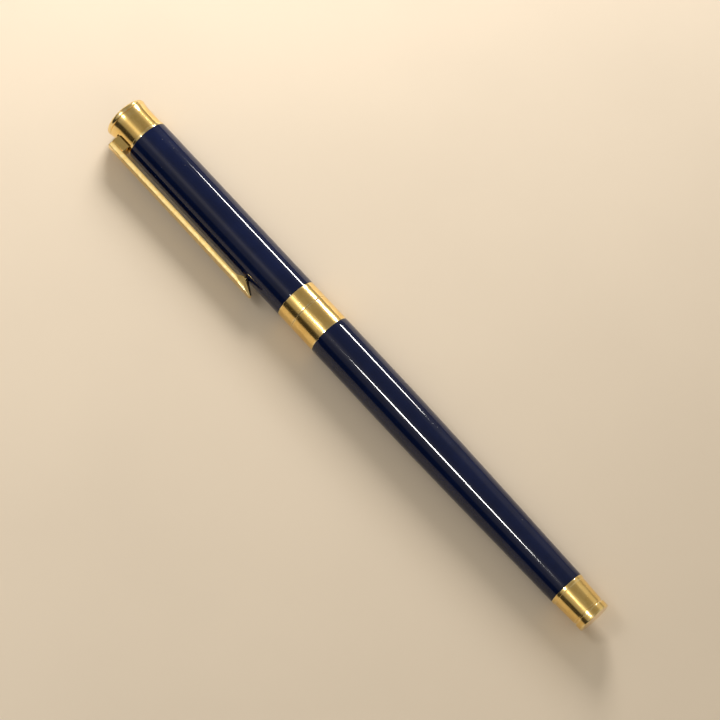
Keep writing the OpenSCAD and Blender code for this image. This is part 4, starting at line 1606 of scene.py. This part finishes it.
@dataclass
class Studio:
    """A plain pale floor, a soft room, strip lamps and the camera."""

    floor_colour: Colour = (0.76, 0.665, 0.55)
    floor_span: float = 3.2
    backdrop: Colour = (0.62, 0.56, 0.47)
    room: float = 1.0
    room_tint: Colour = (1.0, 0.91, 0.75)
    lens: float = 144.5
    sensor: float = 36.0
    clip_near: float = 0.01
    clip_far: float = 20.0
    eye_mm: tuple[float, float, float] = (-47.8, 170.8, 525.7)
    right: tuple[float, float, float] = (-0.6687, -0.7376, 0.0937)
    up: tuple[float, float, float] = (0.7147, -0.6028, 0.3546)

    def floor(self) -> None:
        """Lays the floor under the lowest point of the pen."""
        lo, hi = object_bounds()
        half = self.floor_span / 2
        x = (lo.x + hi.x) / 2
        signs = ((-1, -1), (1, -1), (1, 1), (-1, 1))
        corners = [(x + a * half, b * half, lo.z) for a, b in signs]
        mesh = bpy.data.meshes.new("studio_floor")
        mesh.from_pydata(corners, [], [(0, 1, 2, 3)])
        surface = Surface("studio_floor")
        graph = surface.graph
        tone = graph.noise(surface.place, 14.0, 4.0)
        pale = opaque(self.floor_colour)
        shade = opaque(tuple(0.96 * c for c in self.floor_colour))
        surface.set(Base_Color=graph.blend(graph.clamp_range(tone, 0.35, 0.7), pale, shade), Roughness=0.6)
        mesh.materials.append(surface.material)
        add_object("studio_floor", mesh)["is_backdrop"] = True

    def world(self) -> None:
        """Lights the room: a tone for each direction about the pen's axis, from +Z towards +Y.

        The angle is the arc tangent of y over z, and a colour ramp gives the tone there.
        """
        world = bpy.data.worlds.new("studio_room")
        world.use_nodes = True
        graph = Graph(world.node_tree)
        way = graph.add("ShaderNodeSeparateXYZ", {0: graph.add("ShaderNodeTexCoord").outputs["Generated"]})
        angle = graph.maths("ARCTAN2", way.outputs[1], way.outputs[2])
        share = graph.maths("MULTIPLY_ADD", angle, 1 / FULL_TURN, 0.5)
        ramp = graph.add("ShaderNodeValToRGB", {0: share})
        tones = [
            (-180, 0.40), (-100, 0.40), (-82, 0.36), (-72, 0.62), (-52, 0.66), (-40, 0.36), (-14, 0.30),
            (6, 0.34), (17, 0.62), (23, 1.05), (30, 1.05), (39, 0.55), (48, 0.40), (58, 0.34), (64, 0.05),
            (86, 0.03), (94, 0.40), (180, 0.40),
        ]
        elements = ramp.color_ramp.elements
        while len(elements) < len(tones):
            elements.new(0.5)
        for element, (degrees, tone) in zip(elements, tones):
            element.position = degrees / 360 + 0.5
            element.color = opaque(tuple(tone * c for c in self.room_tint))
        seen = graph.add("ShaderNodeLightPath").outputs["Is Camera Ray"]
        back = next(n for n in world.node_tree.nodes if n.type == "BACKGROUND")
        graph.feed(back.inputs["Color"], graph.blend(seen, ramp.outputs[0], opaque(self.backdrop)))
        back.inputs["Strength"].default_value = self.room
        bpy.context.scene.world = world

    def lights(self) -> None:
        """Hangs the lamps."""
        white, warm = (1.0, 0.98, 0.94), (1.0, 0.95, 0.88)
        StripLight("lamp_over_section", -60.4, 420, 182, 126, 28, 0.95, white).build()
        StripLight("lamp_over_barrel", 25.8, 420, 102, 106, 23, 0.80, white).build()
        StripLight("soft_key", -50.0, 270, 300, 170, 170, 1.42, warm, glossy=False).build()
        StripLight("soft_fill", 20.0, 480, 280, 150, 150, 0.34, warm, glossy=False).build()

    def camera(self) -> None:
        """Sets the camera, with its picture axes given in the frame."""
        data = bpy.data.cameras.new("camera")
        data.lens, data.sensor_width = self.lens, self.sensor
        data.clip_start, data.clip_end = self.clip_near, self.clip_far
        right, up = Vector(self.right).normalized(), Vector(self.up).normalized()
        back = right.cross(up)
        camera = add_object("camera", data)
        turn = Matrix((right, up, back)).transposed()
        camera.matrix_world = Matrix.Translation(Vector(self.eye_mm) * MM) @ turn.to_4x4()
        bpy.context.scene.camera = camera

    def build(self) -> None:
        """Builds the studio."""
        self.floor()
        self.world()
        self.lights()
        self.camera()
        bpy.context.scene.view_settings.view_transform = "Standard"
        log.info("studio: floor, room, lamps and camera")


def write_sizes(cad: tuple[Vector, Vector]) -> None:
    """Writes the CAD box and the visual model's box.

    Args:
        cad: the CAD box's lowest and highest corner.
    """
    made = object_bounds()
    for name, box in (("cad", cad), ("visual", made)):
        log.info("%s box %s mm", name, [round(c / MM, 2) for v in box for c in v])


def main() -> None:
    """Builds the pen's sub-assemblies in order, then the studio."""
    logging.basicConfig(level=logging.INFO, format="%(name)s: %(message)s")
    for part in (Barrel(), Tail(), Cap(), Crown(), Clip(), Section(), Refill()):
        part.build()
        log.info("%s is done", type(part).__name__)
    Studio().build()
    write_sizes(cad_box)


if __name__ == "__main__":
    main()
